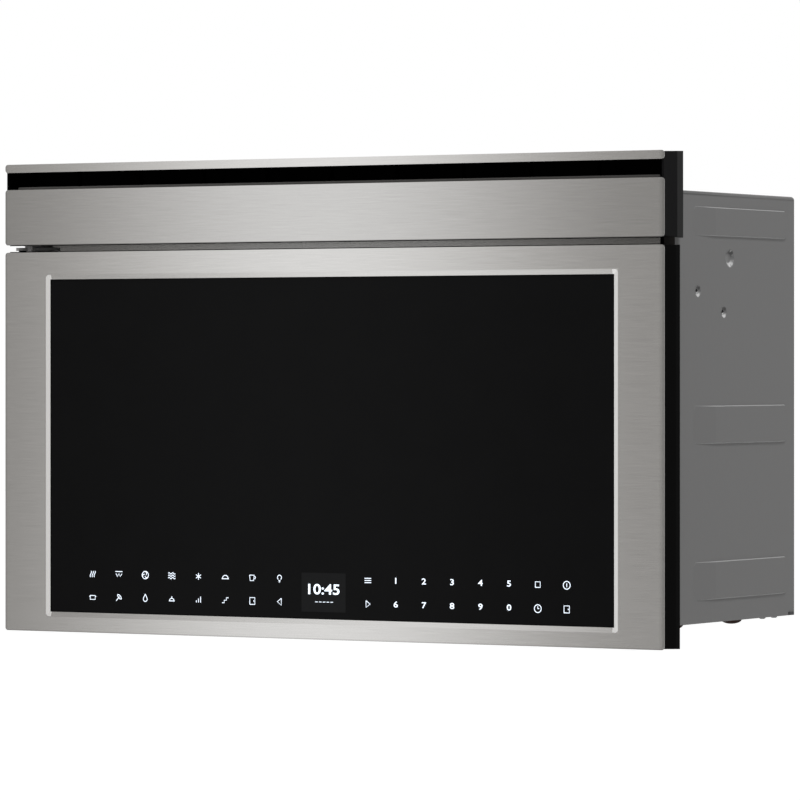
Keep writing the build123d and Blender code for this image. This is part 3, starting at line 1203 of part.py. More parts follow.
def interlock_bracket():
    z0, z1 = HOOK_LOW - 34, HOOK_HIGH + 26
    left, right = CHEEK_LEFT - CHEEK_T, CHEEK_RIGHT + CHEEK_T
    cheeks = block(CHEEK_RIGHT, right, FRAME_BACK, CHEEK_BACK, z0, z1)
    cheeks += block(left, CHEEK_LEFT, FRAME_BACK, CHEEK_BACK, CAM_Z - 24, z1)
    cheeks += block(left, right, FRAME_BACK, FRAME_BACK + CHEEK_T, z0, z1)
    for z in (HOOK_LOW, HOOK_HIGH):
        cheeks -= hook_slot(z, FRAME_BACK - CLIP, FRAME_BACK + 2 * CHEEK_T)
    return cheeks - bar(4, 6, (CHEEK_LEFT - 4, CAM_Y, CAM_Z), "x", 8)


def interlock_switches():
    x0, x1 = CHEEK_RIGHT - SWITCH_W, CHEEK_RIGHT
    group = []
    for hook in (HOOK_LOW, HOOK_HIGH):
        z = hook + TIP_RISE
        body = block(x0, x1, SWITCH_FRONT, SWITCH_FRONT + SWITCH_D, z - 5, z - 5 + SWITCH_H)
        group.append(body - bore(PLUNGER_R, PLUNGER_L - 1, (LATCH_X, SWITCH_FRONT - 1, z), "y"))
    body = block(x0, x1, MONITOR_Y - 14, MONITOR_Y - 14 + SWITCH_H, MONITOR_TOP - SWITCH_D, MONITOR_TOP)
    start = (LATCH_X, MONITOR_Y, MONITOR_TOP - PLUNGER_L + 2)
    group.append(body - bore(PLUNGER_R, PLUNGER_L - 1, start, "z"))
    return Compound(children=group)


def hook_plunger(hook):
    return bar(PLUNGER_R, PLUNGER_L, (LATCH_X, HOOK_TIP, hook + TIP_RISE), "y")


def primary_plunger():
    return hook_plunger(HOOK_HIGH)


def secondary_plunger():
    return hook_plunger(HOOK_LOW)


def monitor_plunger():
    return bar(PLUNGER_R, PLUNGER_L, (LATCH_X, MONITOR_Y, MONITOR_TIP - PLUNGER_L), "z")


def opener_motor():
    """A small geared motor on the bracket's left cheek."""
    x1 = CHEEK_LEFT - CHEEK_T
    can = bar(OPENER_R, OPENER_R, (x1 - OPENER_R, CAM_Y, CAM_Z), "x", 16)
    can += block(x1 - 1.5, x1, CAM_Y - 24, CAM_Y + 24, CAM_Z - 5, CAM_Z + 5)
    return can - bore(SMALL_SHAFT_R, 13, (x1 - 12, CAM_Y, CAM_Z), "x")


def opener_cam():
    """The cam that lifts the hook, with its shaft into the motor."""
    side = Plane(origin=(LATCH_X - 3, 0, 0), x_dir=(0, 1, 0), z_dir=(1, 0, 0))
    hub = Pos(CAM_Y, CAM_Z) * RegularPolygon(8, 16)
    tip = Pos(CAM_Y + CAM_REACH - 4, CAM_Z) * RegularPolygon(4, 16)
    cam = extrude(side * make_hull(hub.edges() + tip.edges()), 6)
    length = LATCH_X - CHEEK_LEFT + 12
    return cam + bar(SMALL_SHAFT_R, length, (CHEEK_LEFT - 12, CAM_Y, CAM_Z), "x")


PIECES = {
    "wrapper": wrapper,
    "rear_panel": rear_panel,
    "inlet_gland": inlet_gland,
    "base_plate": base_plate,
    "feet": feet,
    "front_frame": front_frame,
    "hinge_brackets": hinge_brackets,
    "head_housing": head_housing,
    "vent_grille": vent_grille,
    "head_panel": head_panel,
    "head_trim": head_trim,
    "casing_screws": casing_screws,
    "oven_cavity": oven_cavity,
    "grill_element": grill_element,
    "rack_supports": rack_supports,
    "wire_rack": wire_rack,
    "waveguide": waveguide,
    "waveguide_cover": waveguide_cover,
    "magnetron": magnetron,
    "lamp_holder": lamp_holder,
    "cavity_lamp": cavity_lamp,
    "probe_jack": probe_jack,
    "convection_cover": convection_cover,
    "convection_housing": convection_housing,
    "ring_heater": ring_heater,
    "convection_fan": convection_fan,
    "convection_motor": convection_motor,
    "turntable_motor": turntable_motor,
    "turntable_coupler": turntable_coupler,
    "glass_turntable": glass_turntable,
    "roller_ring": roller_ring,
    "fan_shroud": fan_shroud,
    "cooling_fan": cooling_fan,
    "cooling_motor": cooling_motor,
    "air_duct": air_duct,
    "transformer": transformer,
    "capacitor": capacitor,
    "power_boards": power_boards,
    "thermal_cutouts": thermal_cutouts,
    "door_skin": door_skin,
    "door_glass": door_glass,
    "door_shell": door_shell,
    "latch_bar": latch_bar,
    "latch_spring": latch_spring,
    "choke_frame": choke_frame,
    "choke_cover": choke_cover,
    "inner_glass": inner_glass,
    "door_screen": door_screen,
    "touch_board": touch_board,
    "display_module": display_module,
    "interlock_bracket": interlock_bracket,
    "interlock_switches": interlock_switches,
    "primary_plunger": primary_plunger,
    "secondary_plunger": secondary_plunger,
    "monitor_plunger": monitor_plunger,
    "opener_motor": opener_motor,
    "opener_cam": opener_cam,
}

os.makedirs("parts", exist_ok=True)
for name, make in PIECES.items():
    export_step(make(), f"parts/{name}.step")
for number, angle in enumerate(ROLLER_ANGLES, start=1):
    export_step(roller(angle), f"parts/roller_{number}.step")
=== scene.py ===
import math

import bmesh
import bpy
from mathutils import Matrix, Vector


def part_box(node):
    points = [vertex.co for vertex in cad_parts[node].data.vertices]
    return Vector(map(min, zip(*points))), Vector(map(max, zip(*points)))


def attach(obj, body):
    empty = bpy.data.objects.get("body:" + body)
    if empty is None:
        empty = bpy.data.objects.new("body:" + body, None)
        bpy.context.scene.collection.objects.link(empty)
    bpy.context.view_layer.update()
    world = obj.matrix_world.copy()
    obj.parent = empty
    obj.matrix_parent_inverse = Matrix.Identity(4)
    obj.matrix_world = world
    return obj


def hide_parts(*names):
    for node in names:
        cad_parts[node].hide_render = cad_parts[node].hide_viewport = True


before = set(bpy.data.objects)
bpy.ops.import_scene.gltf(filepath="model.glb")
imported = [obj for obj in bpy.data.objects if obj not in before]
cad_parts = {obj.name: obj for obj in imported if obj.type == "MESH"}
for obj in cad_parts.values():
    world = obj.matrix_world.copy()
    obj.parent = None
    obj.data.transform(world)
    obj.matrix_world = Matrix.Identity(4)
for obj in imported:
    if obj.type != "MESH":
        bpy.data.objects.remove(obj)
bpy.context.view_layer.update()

# The oven cavity is a box of thin steel, welded at its seams and coated with grey speckled enamel.
# The enamel is fired on, so it is glassy over a slightly uneven coat, and the corners are folded
# with a soft bend.


def figure(tree, operation, *values):
    """What a maths node makes of sockets and plain numbers."""
    node = tree.nodes.new("ShaderNodeMath")
    node.operation = operation
    for seat, value in zip(node.inputs, values):
        if isinstance(value, bpy.types.NodeSocket):
            tree.links.new(value, seat)
        else:
            seat.default_value = value
    return node.outputs["Value"]


def spread(tree, value, low, high):
    """A value between zero and one, spread from low to high."""
    node = tree.nodes.new("ShaderNodeMapRange")
    node.inputs["To Min"].default_value = low
    node.inputs["To Max"].default_value = high
    tree.links.new(value, node.inputs["Value"])
    return node.outputs["Result"]


def between(tree, share, first, second):
    """A colour between two others."""
    node = tree.nodes.new("ShaderNodeMix")
    node.data_type = "RGBA"
    node.inputs["A"].default_value = (*first, 1)
    node.inputs["B"].default_value = (*second, 1)
    tree.links.new(share, node.inputs["Factor"])
    return node.outputs["Result"]


def finish(name, colour, roughness, grain, metallic=0.0, drift=0.1, relief=0.00004, shine=0.5):
    """A surface whose colour, gloss and relief follow one noise, with so many grains to a metre."""
    material = bpy.data.materials.new(name)
    material.use_nodes = True
    tree = material.node_tree
    shader = tree.nodes["Principled BSDF"]
    shader.inputs["Metallic"].default_value = metallic
    shader.inputs["Specular IOR Level"].default_value = shine
    place = tree.nodes.new("ShaderNodeTexCoord")
    stretch = tree.nodes.new("ShaderNodeMapping")
    stretch.inputs["Scale"].default_value = grain if isinstance(grain, tuple) else (grain, grain, grain)
    noise = tree.nodes.new("ShaderNodeTexNoise")
    noise.inputs["Scale"].default_value = 1.0
    noise.inputs["Detail"].default_value = 4.0
    tree.links.new(place.outputs["Object"], stretch.inputs["Vector"])
    tree.links.new(stretch.outputs["Vector"], noise.inputs["Vector"])
    darker = [part * (1 - drift) for part in colour]
    lighter = [min(1, part * (1 + drift)) for part in colour]
    tree.links.new(between(tree, noise.outputs["Fac"], darker, lighter), shader.inputs["Base Color"])
    gloss = spread(tree, noise.outputs["Fac"], roughness * (1 - drift), roughness * (1 + drift))
    tree.links.new(gloss, shader.inputs["Roughness"])
    bump = tree.nodes.new("ShaderNodeBump")
    bump.inputs["Distance"].default_value = relief
    tree.links.new(noise.outputs["Fac"], bump.inputs["Height"])
    tree.links.new(bump.outputs["Normal"], shader.inputs["Normal"])
    return material


def overlay(material, factor, colour=None):
    """Lays another colour over a finish where a factor says so. Without one, the factor darkens it."""
    tree = material.node_tree
    shader = tree.nodes["Principled BSDF"]
    under = shader.inputs["Base Color"].links[0].from_socket
    over = tree.nodes.new("ShaderNodeMix")
    over.data_type = "RGBA"
    tree.links.new(under, over.inputs["A"])
    if colour is None:
        over.blend_type = "MULTIPLY"
        over.inputs["Factor"].default_value = 1.0
        tree.links.new(factor, over.inputs["B"])
    else:
        over.inputs["B"].default_value = (*colour, 1)
        tree.links.new(factor, over.inputs["Factor"])
    tree.links.new(over.outputs["Result"], shader.inputs["Base Color"])


def cells(tree, size, measure):
    """The distance or the colour of small random cells across a finish."""
    place = tree.nodes.new("ShaderNodeTexCoord")
    pattern = tree.nodes.new("ShaderNodeTexVoronoi")
    pattern.inputs["Scale"].default_value = 1 / size
    tree.links.new(place.outputs["Object"], pattern.inputs["Vector"])
    return pattern.outputs[measure]


def dress(material, *names):
    """Gives CAD nodes their finish."""
    for name in names:
        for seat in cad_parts[name].material_slots:
            seat.material = material


SPECK_PITCH = 0.0032
SPECK_SHARE = 0.22
enamel = finish("cavity_enamel", (0.30, 0.295, 0.29), 0.28, 60, drift=0.05, relief=0.0001)
speck = figure(enamel.node_tree, "LESS_THAN", cells(enamel.node_tree, SPECK_PITCH, "Distance"), SPECK_SHARE)
overlay(enamel, speck, (0.62, 0.61, 0.6))
dress(enamel, "oven_cavity")

# The convection unit's cover is a shallow pressed steel plate on the cavity's rear wall, enamelled
# like it. Two rings of slots, punched with round ends, let the fan draw and blow.


def ring_of(radius, count):
    """Angles and points evenly round a circle."""
    turns = [2 * math.pi * index / count for index in range(count)]
    return [(turn, radius * math.cos(turn), radius * math.sin(turn)) for turn in turns]


def round_slot(x, z, length, width, turn, steps=6):
    """The outline of a slot with round ends."""
    outline = []
    for end in (1, -1):
        for step in range(steps + 1):
            angle = math.pi * (step / steps - 0.5) + (0 if end > 0 else math.pi)
            u = end * (length - width) / 2 + width / 2 * math.cos(angle)
            w = width / 2 * math.sin(angle)
            across = x + u * math.cos(turn) - w * math.sin(turn)
            up = z + u * math.sin(turn) + w * math.cos(turn)
            outline.append((across, up))
    return outline


def round_rectangle(x0, x1, z0, z1, radius, steps=6):
    """The outline of a rectangle with round corners."""
    left, right, low_z, high_z = x0 + radius, x1 - radius, z0 + radius, z1 - radius
    outline = []
    for quarter, (x, z) in enumerate([(right, high_z), (left, high_z), (left, low_z), (right, low_z)]):
        for step in range(steps + 1):
            angle = math.radians(90 * quarter + 90 * step / steps)
            outline.append((x + radius * math.cos(angle), z + radius * math.sin(angle)))
    return outline


def shaded(name, mesh, smooth_below=32):
    """An object that is shaded smooth across its gentle edges."""
    mesh.polygons.foreach_set("use_smooth", [True] * len(mesh.polygons))
    mesh.set_sharp_from_angle(angle=math.radians(smooth_below))
    return bpy.data.objects.new(name, mesh)


def show(thing):
    """Puts an object in the scene and gives it back."""
    bpy.context.scene.collection.objects.link(thing)
    return thing


def baked(pattern):
    """The mesh of a curve or a text, which is removed."""
    mesh = bpy.data.meshes.new_from_object(show(pattern))
    bpy.data.objects.remove(pattern)
    return mesh


def cut_plate(name, outline, holes, thickness, edge, place):
    """A flat sheet cut out in its own XY plane with soft edges, then put in its place."""
    curve = bpy.data.curves.new(name, "CURVE")
    curve.dimensions = "2D"
    curve.fill_mode = "BOTH"
    curve.extrude = thickness / 2 - edge
    curve.bevel_depth = edge
    curve.bevel_resolution = 1
    for path in [outline, *holes]:
        line = curve.splines.new("POLY")
        line.points.add(len(path) - 1)
        for point, (x, z) in zip(line.points, path):
            point.co = (x, z, 0, 1)
        line.use_cyclic_u = True
    mesh = baked(bpy.data.objects.new(name + "_pattern", curve))
    mesh.name = name
    plate = shaded(name, mesh)
    plate.data.transform(place)
    return plate


def solid(name, points, faces, smooth_below=32):
    """An object from points and faces."""
    mesh = bpy.data.meshes.new(name)
    mesh.from_pydata(points, [], faces)
    mesh.validate()
    work = bmesh.new()
    work.from_mesh(mesh)
    bmesh.ops.remove_doubles(work, verts=work.verts, dist=0.0000005)
    bmesh.ops.recalc_face_normals(work, faces=work.faces)
    work.to_mesh(mesh)
    work.free()
    return shaded(name, mesh, smooth_below)


def settle(piece, material, body, slot, *replaced):
    """Puts a new piece in the scene, on its body, with its finish and the nodes it stands for."""
    show(piece)
    piece.data.materials.append(material)
    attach(piece, body)
    if replaced:
        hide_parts(*replaced)


UPRIGHT = Matrix.Rotation(math.radians(90), 4, "X")
SLOPE = 0.005
COVER_SHEET = 0.0008
low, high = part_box("convection_cover")
middle_x, middle_z = (low.x + high.x) / 2, (low.z + high.z) / 2
half_w, half_h = (high.x - low.x) / 2 - SLOPE, (high.z - low.z) / 2 - SLOPE
cover_slots = []
for radius, number, length, width in ((0.062, 24, 0.026, 0.005), (0.027, 12, 0.020, 0.0045)):
    cover_slots += [round_slot(x, z, length, width, turn) for turn, x, z in ring_of(radius, number)]
cover = cut_plate(
    "pressed_fan_cover",
    round_rectangle(-half_w, half_w, -half_h, half_h, 0.012),
    cover_slots,
    COVER_SHEET,
    0.00015,
    Matrix.Translation((middle_x, low.y + COVER_SHEET / 2, middle_z)) @ UPRIGHT,
)
settle(cover, enamel, "casing", "enamel", "convection_cover")
front_rim = round_rectangle(low.x + SLOPE, high.x - SLOPE, low.z + SLOPE, high.z - SLOPE, 0.012)
rear_rim = round_rectangle(low.x, high.x, low.z, high.z, 0.016)
rim_points = [(x, low.y + 0.0002, z) for x, z in front_rim] + [(x, high.y - 0.0001, z) for x, z in rear_rim]
rim_faces = []
count = len(front_rim)
for index in range(count):
    after = (index + 1) % count
    rim_faces.append((index, after, count + after, count + index))
settle(solid("cover_rim", rim_points, rim_faces), enamel, "casing", "enamel")

# Pressed parts of zinc-coated sheet sit behind and beside the cavity and in the door: the convection
# housing and its fan, the waveguide and magnetron, the lamp's box, the motors' cans and the choke
# frame. They are spot welded or screwed on, and their coat shows its crystal spangle.

SPANGLE = 0.006
SPANGLE_DIM, SPANGLE_BRIGHT = 0.86, 1.06


def spangled(name, colour, roughness):
    """Zinc-coated sheet, whose crystals each catch the light a little differently."""
    material = finish(name, colour, roughness, 120, metallic=1.0, drift=0.12)
    tree = material.node_tree
    overlay(material, spread(tree, cells(tree, SPANGLE, "Color"), SPANGLE_DIM, SPANGLE_BRIGHT))
    return material


zinc_sheet = spangled("zinc_sheet", (0.55, 0.56, 0.57), 0.42)
dress(
    zinc_sheet,
    "convection_housing", "convection_fan", "convection_motor", "waveguide", "magnetron", "lamp_holder",
    "turntable_motor", "opener_motor", "choke_frame",
)

# The transformer's coils are lacquered copper on a laminated core, and the cooling fan's motor is
# wound the same way. The capacitor is an oil-filled can, and the boards are green laminate with
# their parts soldered on. They are screwed down in the bay, apart from the keys' board in the door.

lacquered_copper = finish("lacquered_copper", (0.42, 0.2, 0.1), 0.4, (900, 900, 2400), drift=0.25)
dress(lacquered_copper, "transformer", "cooling_motor")
dress(spangled("capacitor_can", (0.5, 0.5, 0.5), 0.3), "capacitor")
board_green = finish("board_laminate", (0.03, 0.14, 0.07), 0.35, 1500, drift=0.2)
dress(board_green, "power_boards", "touch_board")

# The duct, the cooling fan, the switches, the latch and the turntable's carrier are moulded in plain
# plastics: black, or the natural colour of the resin. The moulds leave a fine even texture and
# slightly round edges. The sheet over the microwave port is cut from mica.


def moulding(name, colour, roughness, shine, grain=2200, drift=0.14):
    """Moulded plastic, with a fine texture and its own strength of shine."""
    return finish(name, colour, roughness, grain, drift=drift, shine=shine)


def soften(width, *names, angle=28):
    """Rounds the edges of CAD nodes, as a press or a mould leaves them."""
    for name in names:
        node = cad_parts[name]
        weld = node.modifiers.new("weld", "WELD")
        weld.merge_threshold = 0.000002
        edge = node.modifiers.new("edge", "BEVEL")
        edge.width = width
        edge.segments = 2
        edge.limit_method = "ANGLE"
        edge.angle_limit = math.radians(angle)
        edge.harden_normals = True


inner_black = moulding("inner_black_plastic", (0.012, 0.012, 0.013), 0.42, 0.4)
natural_plastic = moulding("natural_plastic", (0.62, 0.6, 0.55), 0.5, 0.5, grain=900, drift=0.06)
dress(inner_black, "fan_shroud", "cooling_fan", "interlock_switches")
dress(
    natural_plastic,
    "air_duct", "interlock_bracket", "latch_bar", "primary_plunger", "secondary_plunger",
    "monitor_plunger", "opener_cam", "turntable_coupler", "roller_ring",
)
soften(0.0004, "latch_bar", "turntable_coupler", "roller_ring")
dress(finish("mica", (0.52, 0.45, 0.33), 0.35, 150, drift=0.18), "waveguide_cover")

# The heaters are sheathed rods, dark from their first firing. The grill element is bent in a long
# W under the roof with its two ends through it, and the ring heater lies round the rear fan.


def rounded(points, radius, steps=8):
    """A path whose square corners are turned in arcs."""
    path = [Vector(points[0])]
    for before, corner, after in zip(points, points[1:], points[2:]):
        corner = Vector(corner)
        back = (Vector(before) - corner).normalized() * radius
        ahead = (Vector(after) - corner).normalized() * radius
        for step in range(steps + 1):
            turn = math.pi / 2 * step / steps
            path.append(corner + back * (1 - math.sin(turn)) + ahead * (1 - math.cos(turn)))
    path.append(Vector(points[-1]))
    return path


MILLIMETRE = 0.001


def wires(name, runs):
    """Round wires or rods, each given as a path, its radius and whether it closes on itself."""
    curve = bpy.data.curves.new(name, "CURVE")
    curve.dimensions = "3D"
    curve.bevel_depth = MILLIMETRE
    curve.bevel_resolution = 5
    curve.use_fill_caps = True
    for path, radius, closed in runs:
        line = curve.splines.new("POLY")
        line.points.add(len(path) - 1)
        for point, place in zip(line.points, path):
            point.co = (*place, 1)
            point.radius = radius / MILLIMETRE
        line.use_cyclic_u = closed
        line.use_smooth = True
    return bpy.data.objects.new(name, curve)


GRILL_RADIUS = 0.0030
GRILL_INSET = 0.0034
GRILL_BEND = 0.012
INNER_BENDS = 0.024
sheath = finish("heater_sheath", (0.09, 0.08, 0.075), 0.5, 500, metallic=0.6, drift=0.3)
low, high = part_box("grill_element")
grill_z = low.z + GRILL_INSET
grill_x0, grill_x1 = low.x + GRILL_INSET, high.x - GRILL_INSET
grill_front, grill_rear = low.y + GRILL_INSET, high.y - GRILL_INSET
pitch = (grill_x1 - grill_x0) / 3
corners = [(grill_x0, grill_rear, high.z), (grill_x0, grill_rear, grill_z)]
for run in range(3):
    y = grill_rear - INNER_BENDS if run % 2 else grill_front
    corners += [(grill_x0 + run * pitch, y, grill_z), (grill_x0 + (run + 1) * pitch, y, grill_z)]
corners += [(grill_x1, grill_rear, grill_z), (grill_x1, grill_rear, high.z)]
grill = wires("grill_rod", [(rounded(corners, GRILL_BEND), GRILL_RADIUS, False)])
settle(grill, sheath, "casing", "sheath", "grill_element")
dress(sheath, "ring_heater")
soften(0.0012, "ring_heater")

# The rack is welded from bright plated wire: a thick round frame with thinner wires laid across.
# It stands loose on four moulded hooks, which clip into the side walls. The thermostats and the
# latch's spring have the same bright plating.

FRAME_WIRE = 0.0026
CROSS_WIRE = 0.0013
RACK_WIRES = 22
plated_wire = finish("plated_wire", (0.72, 0.72, 0.73), 0.16, 40, metallic=1.0, drift=0.06)
low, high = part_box("wire_rack")
rack_z = (low.z + high.z) / 2
x0, x1, y0, y1 = low.x + FRAME_WIRE, high.x - FRAME_WIRE, low.y + FRAME_WIRE, high.y - FRAME_WIRE
rack_runs = [([(x, y, rack_z) for x, y in round_rectangle(x0, x1, y0, y1, 0.012)], FRAME_WIRE, True)]
upper_z, lower_z = rack_z + 0.0010, rack_z - 0.0013
for index in range(RACK_WIRES):
    x = x0 + (index + 1) * (x1 - x0) / (RACK_WIRES + 1)
    rack_runs.append(([(x, y0, upper_z), (x, y1, upper_z)], CROSS_WIRE, False))
for share in (1 / 3, 2 / 3):
    y = y0 + share * (y1 - y0)
    rack_runs.append(([(x0, y, lower_z), (x1, y, lower_z)], CROSS_WIRE, False))
settle(wires("oven_rack", rack_runs), plated_wire, "rack", "wire", "wire_rack")
dress(natural_plastic, "rack_supports")
soften(0.0009, "rack_supports")
dress(plated_wire, "thermal_cutouts", "latch_spring")

# The turntable is a pressed glass plate with a raised rim and three lugs under its middle. It turns
# on a plastic carrier, whose three wheels run in the dish of the floor.


def turned(name, profile, places, steps=48, closed=False):
    """A piece turned from a profile of (radius, height) points, once about each place's Z axis."""
    points, faces = [], []
    for place in places:
        rings = []
        for radius, height in profile:
            start = len(points)
            if radius == 0:
                points.append(place @ Vector((0, 0, height)))
                rings.append([start] * steps)
                continue
            for _, x, y in ring_of(radius, steps):
                points.append(place @ Vector((x, y, height)))
            rings.append(list(range(start, start + steps)))
        for near, far in zip(rings, rings[1:] + rings[:1] if closed else rings[1:]):
            for index in range(steps):
                after = (index + 1) % steps
                corners = []
                for corner in (near[index], near[after], far[after], far[index]):
                    if corner not in corners:
                        corners.append(corner)
                if len(corners) > 2:
                    faces.append(corners)
    return solid(name, points, faces)


plate_glass = finish("plate_glass", (0.9, 0.95, 0.93), 0.04, 30, drift=0.02, relief=0.00003)
plate_glass.node_tree.nodes["Principled BSDF"].inputs["Transmission Weight"].default_value = 1.0
plate_glass.node_tree.nodes["Principled BSDF"].inputs["IOR"].default_value = 1.5
RIM_H = 0.0090
RIM_MARGIN = 0.0006
low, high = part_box("glass_turntable")
plate_x, plate_y = (low.x + high.x) / 2, (low.y + high.y) / 2
plate_r = (high.x - low.x) / 2 - RIM_MARGIN
plate_z = high.z - RIM_H
plate_profile = [
    (0, 0), (0.030, 0), (0.031, 0.0006), (0.034, 0.0006), (0.035, 0),
    (plate_r - 0.0080, 0), (plate_r - 0.0062, 0.0006), (plate_r - 0.0008, 0.0076),
    (plate_r, 0.0083), (plate_r - 0.0002, 0.0088), (plate_r - 0.0010, RIM_H),
    (plate_r - 0.0026, 0.0086), (plate_r - 0.0076, 0.0056), (plate_r - 0.0096, 0.0050), (0, 0.0050),
]
plate_place = Matrix.Translation((plate_x, plate_y, plate_z))
turntable = turned("turntable_plate", plate_profile, [plate_place], steps=96)
settle(turntable, plate_glass, "turntable", "clear_glass", "glass_turntable")
LUG_REACH = 0.014
lug_profile = [(0, -0.0052), (0.0026, -0.0052), (0.0034, -0.0044), (0.0036, 0.0004), (0, 0.0004)]
lug_places = []
for degrees in (90, 210, 330):
    turn = math.radians(degrees)
    reach = Vector((LUG_REACH * math.cos(turn), LUG_REACH * math.sin(turn), 0))
    lug_places.append(plate_place @ Matrix.Translation(reach))
settle(turned("turntable_lugs", lug_profile, lug_places, steps=24), plate_glass, "turntable", "clear_glass")

wheel_profile = [
    (0.0021, -0.0040), (0.0038, -0.0040), (0.0040, -0.0034), (0.0058, -0.0034), (0.0062, -0.0040),
    (0.0070, -0.0038), (0.0074, -0.0030), (0.0074, 0.0030), (0.0070, 0.0038), (0.0062, 0.0040),
    (0.0058, 0.0034), (0.0040, 0.0034), (0.0038, 0.0040), (0.0021, 0.0040),
]
for number, body in enumerate(("roller_a", "roller_b", "roller_c"), start=1):
    low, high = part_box(f"roller_{number}")
    middle = (low + high) / 2
    outward = Vector((middle.x - plate_x, middle.y - plate_y, 0))
    aim = Matrix.Translation(middle) @ outward.to_track_quat("Z", "Y").to_matrix().to_4x4()
    wheel = turned(f"carrier_wheel_{number}", wheel_profile, [aim], closed=True)
    settle(wheel, natural_plastic, body, "light_plastic", f"roller_{number}")

# The cavity's lamp is a small clear bulb in the roof behind a disc punched with round holes, and
# the socket for a temperature probe is a plated bush in the right wall, closed by a flange nut.

BULB_R = 0.0076
NECK_R = 0.0058
CAP_R = 0.0086
low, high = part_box("cavity_lamp")
lamp_x, lamp_y = (low.x + high.x) / 2, (low.y + high.y) / 2
bulb_profile = [(0, low.z + 0.0001)]
for step in range(1, 7):
    turn = math.radians(15 * step)
    bulb_profile.append((BULB_R * math.sin(turn), low.z + BULB_R * (1 - math.cos(turn))))
bulb_profile += [(BULB_R, low.z + 0.020), (NECK_R, low.z + 0.0215), (NECK_R, high.z - 0.0081)]
bulb_profile += [(CAP_R, high.z - 0.0080), (CAP_R, high.z), (0, high.z)]
bulb = turned("lamp_bulb", bulb_profile, [Matrix.Translation((lamp_x, lamp_y, 0))])
settle(bulb, plate_glass, "casing", "clear_glass", "cavity_lamp")
HOLE_PITCH = 0.0042
ROW_PITCH = 0.866 * HOLE_PITCH
HOLE_R = 0.0014
HOLES_WITHIN = 0.0125
DISC_R = 0.0165
DISC_SHEET = 0.0006
DISC_DROP = 0.0015
disc_holes = []
for row in range(-3, 4):
    for column in range(-3, 4):
        x = (column + (row % 2) / 2) * HOLE_PITCH
        y = row * ROW_PITCH
        if math.hypot(x, y) < HOLES_WITHIN:
            disc_holes.append([(x + u, y + w) for _, u, w in ring_of(HOLE_R, 12)])
disc_outline = [(u, w) for _, u, w in ring_of(DISC_R, 48)]
disc_place = Matrix.Translation((lamp_x, lamp_y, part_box("lamp_holder")[0].z - DISC_DROP))
disc = cut_plate("lamp_disc", disc_outline, disc_holes, DISC_SHEET, 0.0001, disc_place)
settle(disc, enamel, "casing", "enamel")
low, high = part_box("probe_jack")
jack_place = Matrix.Translation((low.x, (low.y + high.y) / 2, (low.z + high.z) / 2))
jack_profile = [
    (0.0022, 0), (0.0052, 0), (0.0055, 0.0004), (0.0055, 0.0006), (0.0083, 0.0008), (0.0085, 0.0012),
    (0.0085, 0.0026), (0.0055, 0.0030), (0.0055, 0.0260), (0.0022, 0.0260),
]
sideways = Matrix.Rotation(math.radians(90), 4, "Y")
jack = turned("probe_socket", jack_profile, [jack_place @ sideways], closed=True)
settle(jack, plated_wire, "casing", "spring_steel", "probe_jack")

# The front frame is sheet steel, bare where the door closes on it and painted dark on the collar
# behind, which the wrapper slides over. That paint is made near black and dull as painted shade of
# the gap, and so are the frame's sides past their bends. It has the row of air openings, the slots
# for the two hooks and the hinges' slots.


def parts_of(tree, measure="Object"):
    """The X, Y and Z of a point's place, or of the way its surface faces."""
    spot = tree.nodes.new("ShaderNodeTexCoord")
    parts = tree.nodes.new("ShaderNodeSeparateXYZ")
    tree.links.new(spot.outputs[measure], parts.inputs["Vector"])
    return parts.outputs


def behind(material, y):
    """A factor of one behind a plane across the Y axis."""
    tree = material.node_tree
    return figure(tree, "GREATER_THAN", parts_of(tree)["Y"], y)


def brushed(name, colour, roughness):
    """Stainless steel with fine lines along X, which spread its highlights up and down."""
    material = finish(name, colour, roughness, (30, 1500, 1500), metallic=1.0, relief=0.000005)
    tree = material.node_tree
    shader = tree.nodes["Principled BSDF"]
    shader.inputs["Anisotropic"].default_value = 0.9
    along = tree.nodes.new("ShaderNodeTangent")
    along.direction_type = "RADIAL"
    along.axis = "X"
    tree.links.new(along.outputs["Tangent"], shader.inputs["Tangent"])
    return material


def second_finish(material, factor, colour, roughness, metallic, shine):
    """Another finish on part of the same piece, where the factor is one."""
    tree = material.node_tree
    first = tree.nodes["Principled BSDF"]
    other = tree.nodes.new("ShaderNodeBsdfPrincipled")
    other.inputs["Base Color"].default_value = (*colour, 1)
    other.inputs["Roughness"].default_value = roughness
    other.inputs["Metallic"].default_value = metallic
    other.inputs["Specular IOR Level"].default_value = shine
    either = tree.nodes.new("ShaderNodeMixShader")
    tree.links.new(factor, either.inputs["Fac"])
    tree.links.new(first.outputs["BSDF"], either.inputs[1])
    tree.links.new(other.outputs["BSDF"], either.inputs[2])
    tree.links.new(either.outputs["Shader"], tree.nodes["Material Output"].inputs["Surface"])


BEND_START = 0.3567
PAINT_START = -0.0036
frame_steel = brushed("frame_steel", (0.71, 0.70, 0.685), 0.26)
tree = frame_steel.node_tree
past_bend = figure(tree, "GREATER_THAN", figure(tree, "ABSOLUTE", parts_of(tree)["X"]), BEND_START)
collar = figure(tree, "MAXIMUM", past_bend, behind(frame_steel, PAINT_START))
# Painted shade: past the side bends and on the collar the steel is near black and dull.
second_finish(frame_steel, collar, (0.0052, 0.0045, 0.0040), 0.5, 0.0, 0.01)
dress(frame_steel, "front_frame")

# The hinges' brackets are thick painted steel, through slots in the frame, each with a pin. Over the
# upper one a bright folded arm closes the end of the gap between the door and the head.

hinge_paint = finish("hinge_paint", (0.58, 0.57, 0.56), 0.45, 700, drift=0.15, shine=0.2)
dress(hinge_paint, "hinge_brackets")
soften(0.0006, "hinge_brackets")
arm_coat = finish("arm_coat", (0.85, 0.84, 0.83), 0.5, 900, drift=0.15)
door_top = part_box("door_skin")[1].z


